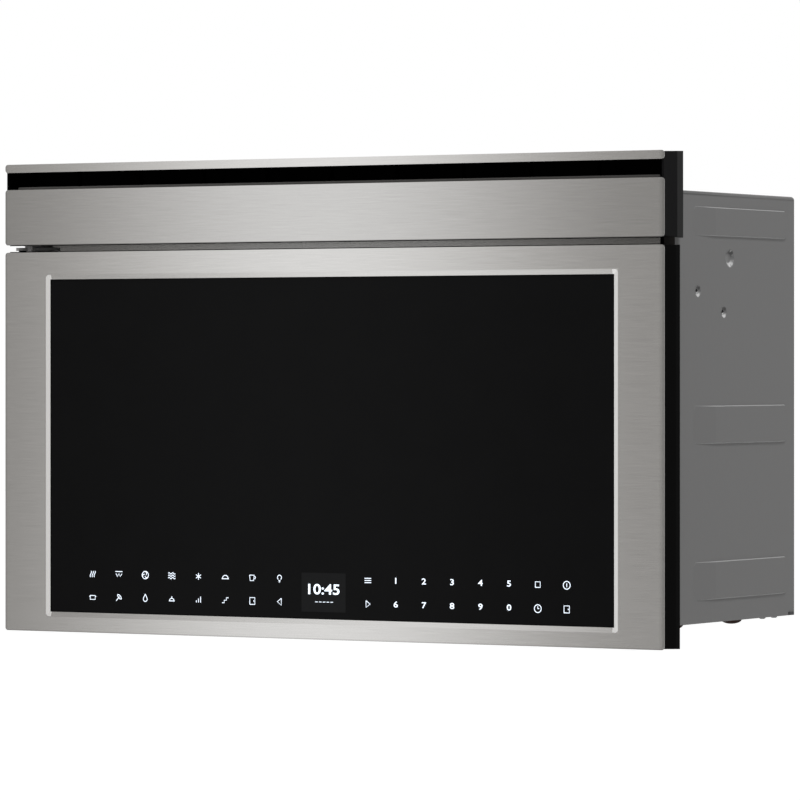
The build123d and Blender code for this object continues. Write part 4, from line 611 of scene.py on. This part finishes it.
def hinge_block(name, outline, z0, z1, edge, material, slot):
    """A block over the door's top, whose plan has round corners and whose edges are soft."""
    place = Matrix.Translation((0, 0, door_top + (z0 + z1) / 2))
    settle(cut_plate(name, outline, [], z1 - z0, edge, place), material, "casing", slot)


arm_plan = round_rectangle(-0.3668, -0.3575, -0.0240, -0.0140, 0.0024)
foot_plan = round_rectangle(-0.3645, -0.3575, -0.0240, -0.0140, 0.0012)
root_plan = round_rectangle(-0.3601, -0.3560, -0.0138, -0.0043, 0.0006)
hinge_block("hinge_arm", arm_plan, 0.0026, 0.0073, 0.0004, arm_coat, "galvanised")
hinge_block("hinge_arm_foot", foot_plan, 0.0009, 0.0026, 0.0002, arm_coat, "galvanised")
hinge_block("hinge_arm_root", root_plan, 0.0009, 0.0073, 0.0002, hinge_paint, "steel")

# The wrapper is one grey coated sheet bent over the top and sides, with ribs and round recesses
# pressed into it, two of them on each side with a hole for a screw. It is screwed on at the rear.


def shade(material, axis, stops, measure="Object"):
    """Paints shade into a finish, by a grey that follows one axis of a point's place or of its slope."""
    tree = material.node_tree
    first, last = stops[0][0], stops[-1][0]
    share = tree.nodes.new("ShaderNodeMapRange")
    share.inputs["From Min"].default_value = first
    share.inputs["From Max"].default_value = last
    tree.links.new(parts_of(tree, measure)[axis], share.inputs["Value"])
    ramp = tree.nodes.new("ShaderNodeValToRGB")
    tree.links.new(share.outputs["Result"], ramp.inputs["Fac"])
    points = ramp.color_ramp.elements
    while len(points) < len(stops):
        points.new(0.5)
    for point, (place, grey) in zip(points, stops):
        point.position = (place - first) / (last - first)
        point.color = (grey, grey, grey, 1)
    overlay(material, ramp.outputs["Color"])


WRAPPER_TOP = -0.0179
WRAPPER_FOOT = -0.4382
WRAPPER_SIDE = 0.3607
WRAPPER_BACK = 0.2799
wrapper_coat = finish("wrapper_coat", (0.26, 0.26, 0.26), 0.42, 220, drift=0.04)
# Painted light: the wrapper's slopes and bends are painted lighter than its flat sheet.
painted_slope_light = [(-1.0, 0.33), (-0.95, 0.90), (-0.40, 0.90), (-0.15, 0.33)]
painted_slope_light += [(0.15, 0.33), (0.30, 0.80), (0.90, 0.80), (0.99, 0.33)]
# Painted shade: a dark line along the wrapper's top bend.
painted_bend_shade = [(-0.0226, 1.0), (-0.0218, 0.42), (-0.0200, 0.30), (WRAPPER_TOP, 0.24)]
# Painted shadow: the wrapper's front strip beside the door and the head is darkened.
painted_gap_shadow = [(0.0180, 0.10), (0.0245, 0.14), (0.0290, 0.75), (0.0310, 1.0)]
shade(wrapper_coat, "Z", painted_slope_light, "Normal")
shade(wrapper_coat, "Z", [(WRAPPER_FOOT, 1.0), *painted_bend_shade])
shade(wrapper_coat, "Y", [*painted_gap_shadow, (WRAPPER_BACK, 1.0)])
dress(wrapper_coat, "wrapper")
soften(0.0004, "wrapper")

PROUD = 0.00003
# The recesses get a lighter copy of the wrapper's coat, with painted shade on their down-facing upper walls
# and painted light on their up-facing lower walls.
recess_painted_light = finish("recess_painted_light", (0.40, 0.40, 0.40), 0.3, 220, drift=0.04)
painted_recess_light = [(-1.0, 0.06), (-0.35, 0.08), (-0.10, 0.20), (0.10, 0.24), (0.40, 0.80), (1.0, 1.0)]
shade(recess_painted_light, "Z", painted_recess_light, "Normal")
main_recess = [
    (0.0098, -PROUD), (0.0090, -PROUD), (0.0084, 0.00022), (0.0078, 0.0006), (0.0056, 0.0020),
    (0.0049, 0.0023), (0.0042, 0.0024), (0, 0.0024),
]
screw_recess = [
    (0.0064, -PROUD), (0.0058, -PROUD), (0.0053, 0.00018), (0.0048, 0.0005), (0.0034, 0.0014),
    (0.0030, 0.0016), (0.00235, 0.0016), (0.0022, 0.0019), (0.0022, 0.0030),
]
for name, profile, seats in (
    ("main_recesses", main_recess, [(0.1364, 0.0640)]),
    ("screw_recesses", screw_recess, [(0.0674, 0.0972), (0.1234, 0.1171)]),
):
    places = []
    for y, down in seats:
        for side in (1, -1):
            aim = Matrix.Rotation(math.radians(-90 * side), 4, "Y")
            places.append(Matrix.Translation((side * WRAPPER_SIDE, y, WRAPPER_TOP - down)) @ aim)
    settle(turned(name, profile, places), recess_painted_light, "casing", "casing")

# The rear panel and the base plate are zinc-coated sheets. The rear one has two fields of louvres,
# each slot under a pressed hood, and the base has slots under the bay.

dress(zinc_sheet, "rear_panel", "base_plate")
soften(0.0003, "rear_panel", "base_plate")
HOOD_W, HOOD_H, HOOD_RISE = 0.046, 0.0075, 0.0022
HOOD_PITCH = 0.011
HOODS_FOOT = WRAPPER_FOOT + 0.0568
COLUMNS, ROWS = 16, 6
panel_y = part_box("rear_panel")[1].y + 0.00005
hood_points, hood_faces = [], []


def press_hood(x, z):
    """One hood, swelling from its foot to its open lip and tapering at both ends."""
    start = len(hood_points)
    for column in range(COLUMNS + 1):
        u = column / COLUMNS
        taper = min(1, 6 * u, 6 * (1 - u)) ** 0.5 if 0 < u < 1 else 0
        for row in range(ROWS + 1):
            w = row / ROWS
            lift = HOOD_RISE * taper * math.sin(math.pi / 2 * w)
            hood_points.append((x + (u - 0.5) * HOOD_W, panel_y + lift, z + HOOD_H * (1 - w)))
    for column in range(COLUMNS):
        for row in range(ROWS):
            a = start + column * (ROWS + 1) + row
            hood_faces.append((a, a + 1, a + ROWS + 2, a + ROWS + 1))


for field_x in (-0.2427, 0.2615):
    for side in (-0.026, 0.026):
        for row in range(4):
            press_hood(field_x + side, HOODS_FOOT + row * HOOD_PITCH)
hoods = solid("louvre_hoods", hood_points, hood_faces, smooth_below=50)
thick = hoods.modifiers.new("sheet", "SOLIDIFY")
thick.thickness = 0.0004
thick.offset = -1
settle(hoods, zinc_sheet, "casing", "galvanised")

# Pan-head screws hold the rear panel and the base, each with a round driver recess. The supply
# lead would pass through a black bush in the panel's upper corner, and a small black clip holds
# each lower rear corner.

pan_head = [
    (0, 0.0006), (0.0010, 0.0006), (0.0012, 0.0015), (0.0014, 0.00175), (0.0022, 0.0017),
    (0.0030, 0.0013), (0.0035, 0.0006), (0.0036, 0.0),
]
backward = Matrix.Rotation(math.radians(-90), 4, "X")
downward = Matrix.Rotation(math.radians(180), 4, "X")
taller = Matrix.Scale(1.3, 4, (0, 0, 1))
rear_seats = [(x, z) for x in (-0.3542, 0.3542) for z in (-0.3982, -0.22805, -0.0579)]
rear_seats += [(-0.18035, -0.0244), (0.18035, -0.0244)]
base_seats = [(x, y) for x in (-0.3502, 0.3502) for y in (0.2290, 0.2550)]
screw_places = [Matrix.Translation((x, WRAPPER_BACK, z)) @ backward for x, z in rear_seats]
screw_places += [Matrix.Translation((x, y, WRAPPER_FOOT)) @ downward @ taller for x, y in base_seats]
screws = turned("pan_head_screws", pan_head, screw_places, steps=24)
dark_zinc = finish("dark_zinc", (0.16, 0.16, 0.16), 0.4, 900, metallic=0.8, drift=0.15)
settle(screws, dark_zinc, "casing", "spring_steel", "casing_screws")
low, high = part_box("inlet_gland")
depth = high.y - low.y
gland_profile = [
    (0.0040, 0), (0.0070, 0), (0.0078, 0.0010), (0.0078, depth - 0.0030), (0.0100, depth - 0.0028),
    (0.0106, depth - 0.0020), (0.0104, depth - 0.0010), (0.0080, depth - 0.0004),
    (0.0062, depth), (0.0046, depth - 0.0004), (0.0040, depth - 0.0012),
]
gland_place = Matrix.Translation(((low.x + high.x) / 2, low.y, (low.z + high.z) / 2))
gland = turned("lead_bush", gland_profile, [gland_place @ backward], closed=True)
settle(gland, inner_black, "casing", "black_plastic", "inlet_gland")
CLIP_Y = 0.2724
CLIP_SHEET = 0.0009
clip_x = WRAPPER_SIDE + 0.0003
clip_z = WRAPPER_FOOT + 0.0018
clip_outline = round_rectangle(-0.0051, 0.0051, -0.0014, 0.0014, 0.0006)
along_side = Matrix.Rotation(math.radians(90), 4, "Z") @ UPRIGHT
for name, side in (("corner_clip_right", 1), ("corner_clip_left", -1)):
    clip_place = Matrix.Translation((side * clip_x, CLIP_Y, clip_z)) @ along_side
    clip = cut_plate(name, clip_outline, [], CLIP_SHEET, 0.0002, clip_place)
    settle(clip, inner_black, "casing", "black_plastic")

# Four low domed feet of dark brown rubber stand near the base's corners. Each has a short straight
# side over its dome and is pushed into the base.

FOOT_RADIUS = 0.0104
FOOT_SIDE = 0.0010
FOOT_INSET = 0.0105
foot_rubber = moulding("foot_rubber", (0.018, 0.008, 0.006), 0.6, 0.04, grain=900, drift=0.2)
low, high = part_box("feet")
dome = high.z - low.z - FOOT_SIDE
foot_profile = [(FOOT_RADIUS, 0), (FOOT_RADIUS, FOOT_SIDE)]
for step in range(1, 8):
    turn = math.radians(90 * step / 8)
    foot_profile.append((FOOT_RADIUS * math.cos(turn), FOOT_SIDE + dome * math.sin(turn)))
foot_profile.append((0, FOOT_SIDE + dome))
foot_places = []
for x in (low.x + FOOT_INSET, high.x - FOOT_INSET):
    for y in (low.y + FOOT_INSET, high.y - FOOT_INSET):
        foot_places.append(Matrix.Translation((x, y, high.z)) @ downward)
settle(turned("domed_feet", foot_profile, foot_places), foot_rubber, "casing", "foot_rubber", "feet")

# The head's housing is moulded black plastic with an air slot along its top. Upright vanes stand
# in the slot, and the housing's two ends close it and widen a little to the rear. The vanes and the
# housing inboard of its ends are a dead black as painted shade, and the ends' rear part is painted
# lighter as a highlight.

END_X = 0.3756
FLARE_Y = -0.0125
# This dull black plastic is made dead black, as painted shade in the slot and the gap.
black_and_shade = moulding("black_and_shade", (0.0006, 0.0006, 0.0006), 0.8, 0.0)
dress(black_and_shade, "vent_grille")
end_black = moulding("end_black", (0.0058, 0.0058, 0.0060), 0.5, 0.012)
# Painted highlight: the ends' rear part is a lighter black.
overlay(end_black, behind(end_black, FLARE_Y), (0.0190, 0.0190, 0.0190))
tree = end_black.node_tree
# Painted shade: all of the housing inboard of its ends is near black.
overlay(end_black, figure(tree, "LESS_THAN", parts_of(tree)["X"], END_X), (0.0006, 0.0006, 0.0006))
dress(end_black, "head_housing")
soften(0.0005, "head_housing")

# Thin lips of the mouldings show as dark lines along the gap, one under the head's panel and one
# behind the door's top edge; their dead black is painted shade of the gap. A third, paler one shows
# along the foot of the air slot.


def lip(name, outline, z, thickness, edge, material, body):
    """A thin strip of a moulding along the front, centred on a height."""
    strip = cut_plate(name, outline, [], thickness, edge, Matrix.Translation((0, 0, z)))
    settle(strip, material, body, "black_plastic")


panel_foot, panel_top = [corner.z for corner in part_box("head_panel")]
gap_lip = round_rectangle(-0.3755, 0.3755, -0.0378, -0.0362, 0.0006)
foot_lip = round_rectangle(-0.3700, 0.3700, -0.0306, -0.0294, 0.0004)
lip_finish = finish("lip_finish", (0.09, 0.086, 0.081), 0.5, (200, 900, 900), drift=0.2)
lip("head_lip", gap_lip, panel_foot - 0.0004, 0.0008, 0.0001, black_and_shade, "casing")
lip("door_lip", gap_lip, door_top + 0.0003, 0.0010, 0.0001, black_and_shade, "door")
lip("slot_lip", foot_lip, panel_top + 0.0013, 0.0034, 0.0002, lip_finish, "casing")

# The head's fronts are thin stainless skins, brushed along their length: a plain panel and a narrow
# strip over the air slot. Each turns back at its edge over the black plastic behind it.

# Painted shade where the head's and the door's skins turn back at their ends.
painted_edge_shade = [(-0.3794, 0.78), (-0.3786, 0.82), (-0.3780, 1.0)]
painted_edge_shade += [(0.3762, 1.0), (0.3768, 0.66), (0.3794, 0.62)]
# The panel's steel is a darker copy of the trim's and the door's, as painted shade.
panel_steel = brushed("panel_steel", (0.60, 0.593, 0.583), 0.22)
shade(panel_steel, "X", painted_edge_shade)
# Painted shade along the panel's foot.
shade(panel_steel, "Z", [(-0.0646, 0.60), (-0.0641, 0.62), (-0.0638, 1.0), (-0.0081, 1.0)])
dress(panel_steel, "head_panel")
trim_steel = brushed("trim_steel", (0.71, 0.70, 0.686), 0.22)
shade(trim_steel, "X", painted_edge_shade)
dress(trim_steel, "head_trim")
soften(0.0003, "head_panel", "head_trim")

# The door's skin is the same brushed stainless steel, with a large opening whose edge is pressed
# back in a narrow bevel, mitred at the corners, round the glass. The bevel's two upright sides carry
# a painted highlight: a paler, rougher steel that rounds off near the corners.

GLASS_CENTRE_Z = -0.26905
GLASS_HALF_W = 0.3249
GLASS_HALF_H = 0.16925
BEVEL_ROUND = 0.0050
BEVEL_INSET = 0.0016
BEVEL_Y = -0.03998


def past_glass(tree):
    """How far a point lies past the glass's edge, across and up. Over the glass it is below zero."""
    place = parts_of(tree)
    up = figure(tree, "ABSOLUTE", figure(tree, "SUBTRACT", place["Z"], GLASS_CENTRE_Z))
    across = figure(tree, "ABSOLUTE", place["X"])
    return figure(tree, "SUBTRACT", across, GLASS_HALF_W), figure(tree, "SUBTRACT", up, GLASS_HALF_H)


door_steel = brushed("door_steel", (0.68, 0.672, 0.66), 0.22)
tree = door_steel.node_tree
past_x, past_z = past_glass(tree)
corner = tree.nodes.new("ShaderNodeCombineXYZ")
for past, axis in ((past_x, "X"), (past_z, "Y")):
    tree.links.new(figure(tree, "MAXIMUM", past, 0.0), corner.inputs[axis])
far = tree.nodes.new("ShaderNodeVectorMath")
far.operation = "LENGTH"
tree.links.new(corner.outputs["Vector"], far.inputs[0])
near_glass = figure(tree, "LESS_THAN", far.outputs["Value"], BEVEL_ROUND)
upright_side = figure(tree, "GREATER_THAN", past_x, -BEVEL_INSET)
on_bevel = figure(tree, "MULTIPLY", near_glass, upright_side)
# Painted highlight on the bevel's upright sides.
painted_bevel_highlight = figure(tree, "MULTIPLY", on_bevel, behind(door_steel, BEVEL_Y))
second_finish(door_steel, painted_bevel_highlight, (0.95, 0.945, 0.935), 0.32, 1.0, 0.5)
# Painted shade along the door skin's side edges and its foot.
shade(door_steel, "X", painted_edge_shade)
shade(door_steel, "Z", [(-0.4584, 0.60), (-0.4578, 0.64), (-0.4575, 1.0), (-0.0721, 1.0)])
dress(door_steel, "door_skin")
soften(0.00025, "door_skin", angle=12)

# The door's front glass is toughened and printed black on its rear face, so only the lit marks
# of its keys and the display show through. A black line of sealant runs round its edge.

SEAL = 0.0010
GLASS_Y = -0.0385
PANE = 0.00006
black_glass = finish("black_glass", (0.0056, 0.0056, 0.0058), 0.05, 25, relief=0.0, shine=0.03)
tree = black_glass.node_tree
on_seal = figure(tree, "GREATER_THAN", figure(tree, "MAXIMUM", *past_glass(tree)), -SEAL)
overlay(black_glass, on_seal, (0.0010, 0.0010, 0.0010))
dress(black_glass, "door_glass")
display_window = finish("display_window", (0.0120, 0.0122, 0.0126), 0.08, 25, relief=0.0, shine=0.03)
dress(display_window, "display_module")
window_outline = round_rectangle(-0.0254, 0.0254, -0.4311, -0.3925, 0.0008)
window_place = Matrix.Translation((0, GLASS_Y - PANE / 2, 0)) @ UPRIGHT
window = cut_plate("display_pane", window_outline, [], PANE, 0.00001, window_place)
settle(window, display_window, "door", "display")

# The keys are lit marks behind the glass, in two rows of eight on each side of the display: ten
# digits, two arrows and plain pictures for the rest. The display shows a clock.

MARK_Y = GLASS_Y - 0.00008
WIDER = 1.28
LETTER_SIZE, LETTER_WEIGHT = 1.42, 0.024
DIGIT_H = 0.0058
CLOCK_H = 0.0100
ROW_1, ROW_2 = -0.3988, -0.4220
KEY_START, KEY_PITCH = 0.0510, 0.03175


def lit(name, colour, strength):
    """Marks lit from behind through the print, a little uneven."""
    material = finish(name, (0.5, 0.55, 0.6), 0.4, 1500, relief=0.0)
    shader = material.node_tree.nodes["Principled BSDF"]
    shader.inputs["Emission Color"].default_value = (*colour, 1)
    shader.inputs["Emission Strength"].default_value = strength
    return material


def lettered(name, marks):
    """Digits as thin plates standing on the glass, each with its height and place."""
    work = bmesh.new()
    for text, height, x, z in marks:
        line = bpy.data.curves.new(name, "FONT")
        line.body = text
        line.size = height * LETTER_SIZE
        line.align_x = "CENTER"
        line.align_y = "CENTER"
        line.offset = height * LETTER_WEIGHT
        line.extrude = 0.00001
        line.resolution_u = 4
        mesh = baked(bpy.data.objects.new(name, line))
        mesh.transform(Matrix.Translation((x, MARK_Y, z)) @ UPRIGHT @ Matrix.Diagonal((WIDER, 1, 1, 1)))
        work.from_mesh(mesh)
    mesh = bpy.data.meshes.new(name)
    work.to_mesh(mesh)
    work.free()
    return bpy.data.objects.new(name, mesh)


columns = [KEY_START + KEY_PITCH * index for index in range(8)]
marks = [(digit, DIGIT_H, x, ROW_1) for digit, x in zip("12345", columns[1:])]
marks += [(digit, DIGIT_H, x, ROW_2) for digit, x in zip("67890", columns[1:])]
key_light = lit("key_light", (0.80, 0.88, 1.0), 0.95)
settle(lettered("key_digits", marks), key_light, "door", "display")
clock = lettered("clock_digits", [("10:45", CLOCK_H, -0.0008, -0.4092)])
settle(clock, lit("clock_light", (0.80, 0.90, 1.0), 1.15), "door", "display")


def arc(x, z, radius, start, end, steps=12):
    """Points round part of a circle, in fractions of a mark's size."""
    span = [math.radians(start + (end - start) * step / steps) for step in range(steps + 1)]
    return [(x + radius * math.cos(turn), z + radius * math.sin(turn)) for turn in span]


def blade(degrees):
    """One blade of the fan's picture."""
    turn = math.radians(degrees)
    return arc(0.2 * math.cos(turn), 0.2 * math.sin(turn), 0.2, degrees - 150, degrees)


def spoke(turn):
    """One stroke of the frost's star."""
    u, w = 0.4 * math.cos(turn), 0.4 * math.sin(turn)
    return [(-u, -w), (u, w)]


wave = [(-0.5 + step / 12, 0.09 * math.sin(2 * math.pi * step / 6)) for step in range(13)]
circle = arc(0, 0, 0.45, 0, 360, 24)
rising = [-0.4 + step / 12 for step in range(10)]
signs = {
    "waves": [[(u, w + shift) for u, w in wave] for shift in (-0.28, 0, 0.28)],
    "fan": [circle, blade(90), blade(210), blade(330)],
    "grill": [
        [(-0.5, 0.35), (0.5, 0.35)],
        [(-0.42, 0.1), (-0.21, -0.25), (0, 0.1), (0.21, -0.25), (0.42, 0.1)],
    ],
    "frost": [spoke(0.52), spoke(1.57), spoke(2.62)],
    "cup": [
        [(-0.38, 0.3), (-0.3, -0.35), (0.18, -0.35), (0.26, 0.3), (-0.38, 0.3)],
        arc(0.26, 0.02, 0.17, 70, -90, 8),
    ],
    "clock": [circle, [(0, 0.26), (0, 0), (0.2, 0)]],
    "bell": [[(-0.4, -0.25), (0.4, -0.25)], arc(0, -0.25, 0.32, 0, 180, 12), [(0, 0.07), (0, 0.3)]],
    "bulb": [
        arc(0, 0.1, 0.28, -55, 235, 14),
        [(-0.14, -0.28), (0.14, -0.28)],
        [(-0.09, -0.42), (0.09, -0.42)],
    ],
    "dish": [[(-0.5, -0.2), (0.5, -0.2)], arc(0, -0.2, 0.4, 0, 180, 14)],
    "pot": [
        [(-0.36, 0.15), (-0.36, -0.32), (0.36, -0.32), (0.36, 0.15), (-0.36, 0.15)],
        [(-0.5, 0.05), (-0.36, 0.05)],
        [(0.36, 0.05), (0.5, 0.05)],
    ],
    "leaf": [
        arc(-0.2, -0.2, 0.55, 0, 90, 10),
        arc(0.35, 0.35, 0.55, 180, 270, 10),
        [(-0.4, -0.4), (0.1, 0.1)],
    ],
    "drop": [[(0, 0.48), (-0.22, 0.08), *arc(0, -0.12, 0.28, 150, 390, 12), (0, 0.48)]],
    "bars": [[(u, -0.35), (u, top)] for u, top in ((-0.3, -0.1), (0, 0.12), (0.3, 0.35))],
    "heat": [[(u + 0.09 * math.sin(6.28 * w), w) for w in rising] for u in (-0.28, 0, 0.28)],
    "steps": [[(-0.45, -0.3), (-0.15, -0.3), (-0.15, 0), (0.15, 0), (0.15, 0.3), (0.45, 0.3)]],
    "left": [[(0.25, 0.4), (0.25, -0.4), (-0.3, 0), (0.25, 0.4)]],
    "right": [[(-0.25, 0.4), (-0.25, -0.4), (0.3, 0), (-0.25, 0.4)]],
    "menu": [[(-0.45, w), (0.45, w)] for w in (-0.25, 0, 0.25)],
    "stop": [[(-0.32, -0.32), (0.32, -0.32), (0.32, 0.32), (-0.32, 0.32), (-0.32, -0.32)]],
    "start": [circle, [(0, -0.22), (0, 0.22)]],
    "door": [
        [(-0.35, -0.4), (-0.35, 0.4), (0.35, 0.4), (0.35, -0.4), (-0.35, -0.4)],
        [(0.2, 0.08), (0.2, -0.08)],
    ],
}
SIGN_SIZE = 0.0084
STROKE = 0.00042
DATE_STROKE = 0.00034
FLATNESS = 0.03
DATE_Z = -0.4212
DATE_START, DATE_PITCH, DATE_DASH = -0.0096, 0.0044, 0.0030
upper_left = ("heat", "grill", "fan", "waves", "frost", "dish", "cup", "bulb")
lower_left = ("pot", "leaf", "drop", "bell", "bars", "steps", "door", "left")
sign_seats = [(sign, -x, ROW_1) for x, sign in zip(reversed(columns), upper_left)]
sign_seats += [(sign, -x, ROW_2) for x, sign in zip(reversed(columns), lower_left)]
sign_seats += [("menu", columns[0], ROW_1), ("right", columns[0], ROW_2)]
sign_seats += [("stop", columns[6], ROW_1), ("start", columns[7], ROW_1)]
sign_seats += [("clock", columns[6], ROW_2), ("door", columns[7], ROW_2)]
sign_runs = []
for sign, x, z in sign_seats:
    for stroke in signs[sign]:
        sign_runs.append(([(x + SIGN_SIZE * u, 0, z + SIGN_SIZE * w) for u, w in stroke], STROKE, False))
for index in range(5):
    x = DATE_START + index * DATE_PITCH
    sign_runs.append(([(x, 0, DATE_Z), (x + DATE_DASH, 0, DATE_Z)], DATE_STROKE, False))
sign_mesh = baked(wires("sign_pattern", sign_runs))
sign_mesh.transform(Matrix.Translation((0, MARK_Y, 0)) @ Matrix.Scale(FLATNESS, 4, (0, 1, 0)))
settle(bpy.data.objects.new("key_signs", sign_mesh), key_light, "door", "display")

# The door's shell is moulded black plastic, a little narrower than the steel at the front and wider
# at the rear. The inner frame of the door snaps into it and covers the microwave choke.

SHELL_FLARE_Y = -0.0153
door_black = moulding("door_black", (0.0012, 0.0012, 0.0012), 0.5, 0.008)
overlay(door_black, behind(door_black, SHELL_FLARE_Y), (0.0026, 0.0026, 0.0026))
dress(door_black, "door_shell", "choke_cover")
soften(0.0005, "door_shell", "choke_cover")

# The inner window is a clear pane in front of a dark sheet punched with fine holes, which keeps the
# microwaves in. The holes stand in even rows.

dress(plate_glass, "inner_glass")
SCREEN_PITCH = 0.0024
SWING_RATE = math.pi / SCREEN_PITCH
HOLE_SHARE = 0.55
screen_paint = finish("screen_paint", (0.030, 0.030, 0.031), 0.4, 500)
tree = screen_paint.node_tree
place = parts_of(tree)
across, up = [
    figure(tree, "SINE", figure(tree, "MULTIPLY", place[axis], SWING_RATE)) for axis in ("X", "Z")
]
swing = figure(tree, "ABSOLUTE", figure(tree, "MULTIPLY", across, up))
overlay(screen_paint, figure(tree, "GREATER_THAN", swing, HOLE_SHARE), (0.001, 0.001, 0.001))
dress(screen_paint, "door_screen")

# A black washer lies on the door's top round the upper hinge pin, under the bracket's nose. It is
# a turned ring with broken edges, and it swings with the door.

HINGE_X, HINGE_Y = -0.3704, -0.0201
washer_profile = [
    (0.0032, 0), (0.0049, 0), (0.0051, 0.0003), (0.0051, 0.0017), (0.0049, 0.0019), (0.0036, 0.0019),
    (0.0032, 0.0016),
]
washer_place = Matrix.Translation((HINGE_X, HINGE_Y, door_top + 0.0002))
washer = turned("hinge_washer", washer_profile, [washer_place], closed=True)
settle(washer, black_and_shade, "door", "black_plastic")

# The studio is a plain pale floor well under the oven, a white surround and soft lamps. A ring of
# tall soft panels, which only the gloss of the steel sees, stands round the oven.


def background_rays(tree):
    """One for a ray from the camera, or one that metal or glass has turned."""
    path = tree.nodes.new("ShaderNodeLightPath")
    direct = figure(tree, "MAXIMUM", path.outputs["Is Camera Ray"], path.outputs["Is Glossy Ray"])
    return figure(tree, "MAXIMUM", direct, path.outputs["Is Transmission Ray"])


FLOOR_Z = -1.2
FLOOR_REACH = 30.0
FLOOR_LIFT = 0.72
corners = [(-1, -1), (1, -1), (1, 1), (-1, 1)]
floor_corners = [(FLOOR_REACH * x, FLOOR_REACH * y, FLOOR_Z) for x, y in corners]
floor_mesh = bpy.data.meshes.new("floor")
floor_mesh.from_pydata(floor_corners, [], [(0, 1, 2, 3)])
floor = show(bpy.data.objects.new("floor", floor_mesh))
floor_paint = finish("floor_paint", (0.86, 0.86, 0.86), 0.7, 3, drift=0.01, shine=0.0)
tree = floor_paint.node_tree
shader = tree.nodes["Principled BSDF"]
shader.inputs["Emission Color"].default_value = (1, 1, 1, 1)
lift = figure(tree, "MULTIPLY", background_rays(tree), FLOOR_LIFT)
tree.links.new(lift, shader.inputs["Emission Strength"])
floor_mesh.materials.append(floor_paint)
floor.visible_glossy = False

SURROUND = 0.34
world = bpy.data.worlds.new("surround")
bpy.context.scene.world = world
world.use_nodes = True
tree = world.node_tree
backdrop = tree.nodes["Background"].inputs
tree.links.new(spread(tree, background_rays(tree), SURROUND, 1.0), backdrop["Strength"])
backdrop["Color"].default_value = (1, 1, 1, 1)

RING_RADIUS = 1.8
RING_STEPS = 180
RING_LOW, RING_HIGH = -1.15, 1.8
PANELS = 12
PANEL_TURN = 31.1
PANEL_SWING, PANEL_LEVEL = 0.38, 0.68
ring_points, ring_faces = [], []
for _, x, y in ring_of(RING_RADIUS, RING_STEPS):
    ring_points += [(x, y, RING_LOW), (x, y, RING_HIGH)]
for index in range(RING_STEPS):
    after = (index + 1) % RING_STEPS
    ring_faces.append((2 * index, 2 * after, 2 * after + 1, 2 * index + 1))
ring_mesh = bpy.data.meshes.new("soft_panels")
ring_mesh.from_pydata(ring_points, [], ring_faces)
panels = show(bpy.data.objects.new("soft_panels", ring_mesh))
panel_light = bpy.data.materials.new("panel_light")
panel_light.use_nodes = True
tree = panel_light.node_tree
tree.nodes.clear()
place = parts_of(tree)
round_ring = figure(tree, "ARCTAN2", place["X"], place["Y"])
phase = figure(tree, "MULTIPLY_ADD", round_ring, PANELS, -math.radians(PANELS * PANEL_TURN))
level = figure(tree, "MULTIPLY_ADD", figure(tree, "COSINE", phase), PANEL_SWING, PANEL_LEVEL)
glow = tree.nodes.new("ShaderNodeEmission")
tree.links.new(between(tree, level, (1.0, 0.965, 0.915), (1.0, 1.0, 1.0)), glow.inputs["Color"])
tree.links.new(level, glow.inputs["Strength"])
target = tree.nodes.new("ShaderNodeOutputMaterial")
tree.links.new(glow.outputs["Emission"], target.inputs["Surface"])
ring_mesh.materials.append(panel_light)
panels.visible_camera = False
panels.visible_diffuse = False
panels.visible_transmission = False
panels.visible_shadow = False


def soft_lamp(name, place, target, size, power):
    """A square lamp aimed at a point, seen by neither the camera nor the gloss."""
    lamp = bpy.data.lights.new(name, "AREA")
    lamp.shape = "SQUARE"
    lamp.size = size
    lamp.energy = power
    holder = show(bpy.data.objects.new(name, lamp))
    holder.location = place
    holder.rotation_euler = (Vector(target) - Vector(place)).to_track_quat("-Z", "Y").to_euler()
    holder.visible_camera = False
    holder.visible_glossy = False


soft_lamp("key_lamp", (1.75, -0.75, 3.1), (0.3, 0.1, -0.2), 0.7, 190)
soft_lamp("fill_lamp", (-2.6, -2.6, 1.4), (0, 0, -0.2), 2.0, 30)

bpy.context.scene.view_settings.view_transform = "Standard"
lens = bpy.data.cameras.new("camera")
lens.sensor_width = 36.0
lens.lens = 236.6
lens.shift_y = -0.0456
lens.clip_end = 100.0
camera = show(bpy.data.objects.new("camera", lens))
camera.location = (2.6839, -4.4870, -0.1855)
camera.rotation_euler = (math.radians(90), 0, math.radians(30.27))
bpy.context.scene.camera = camera
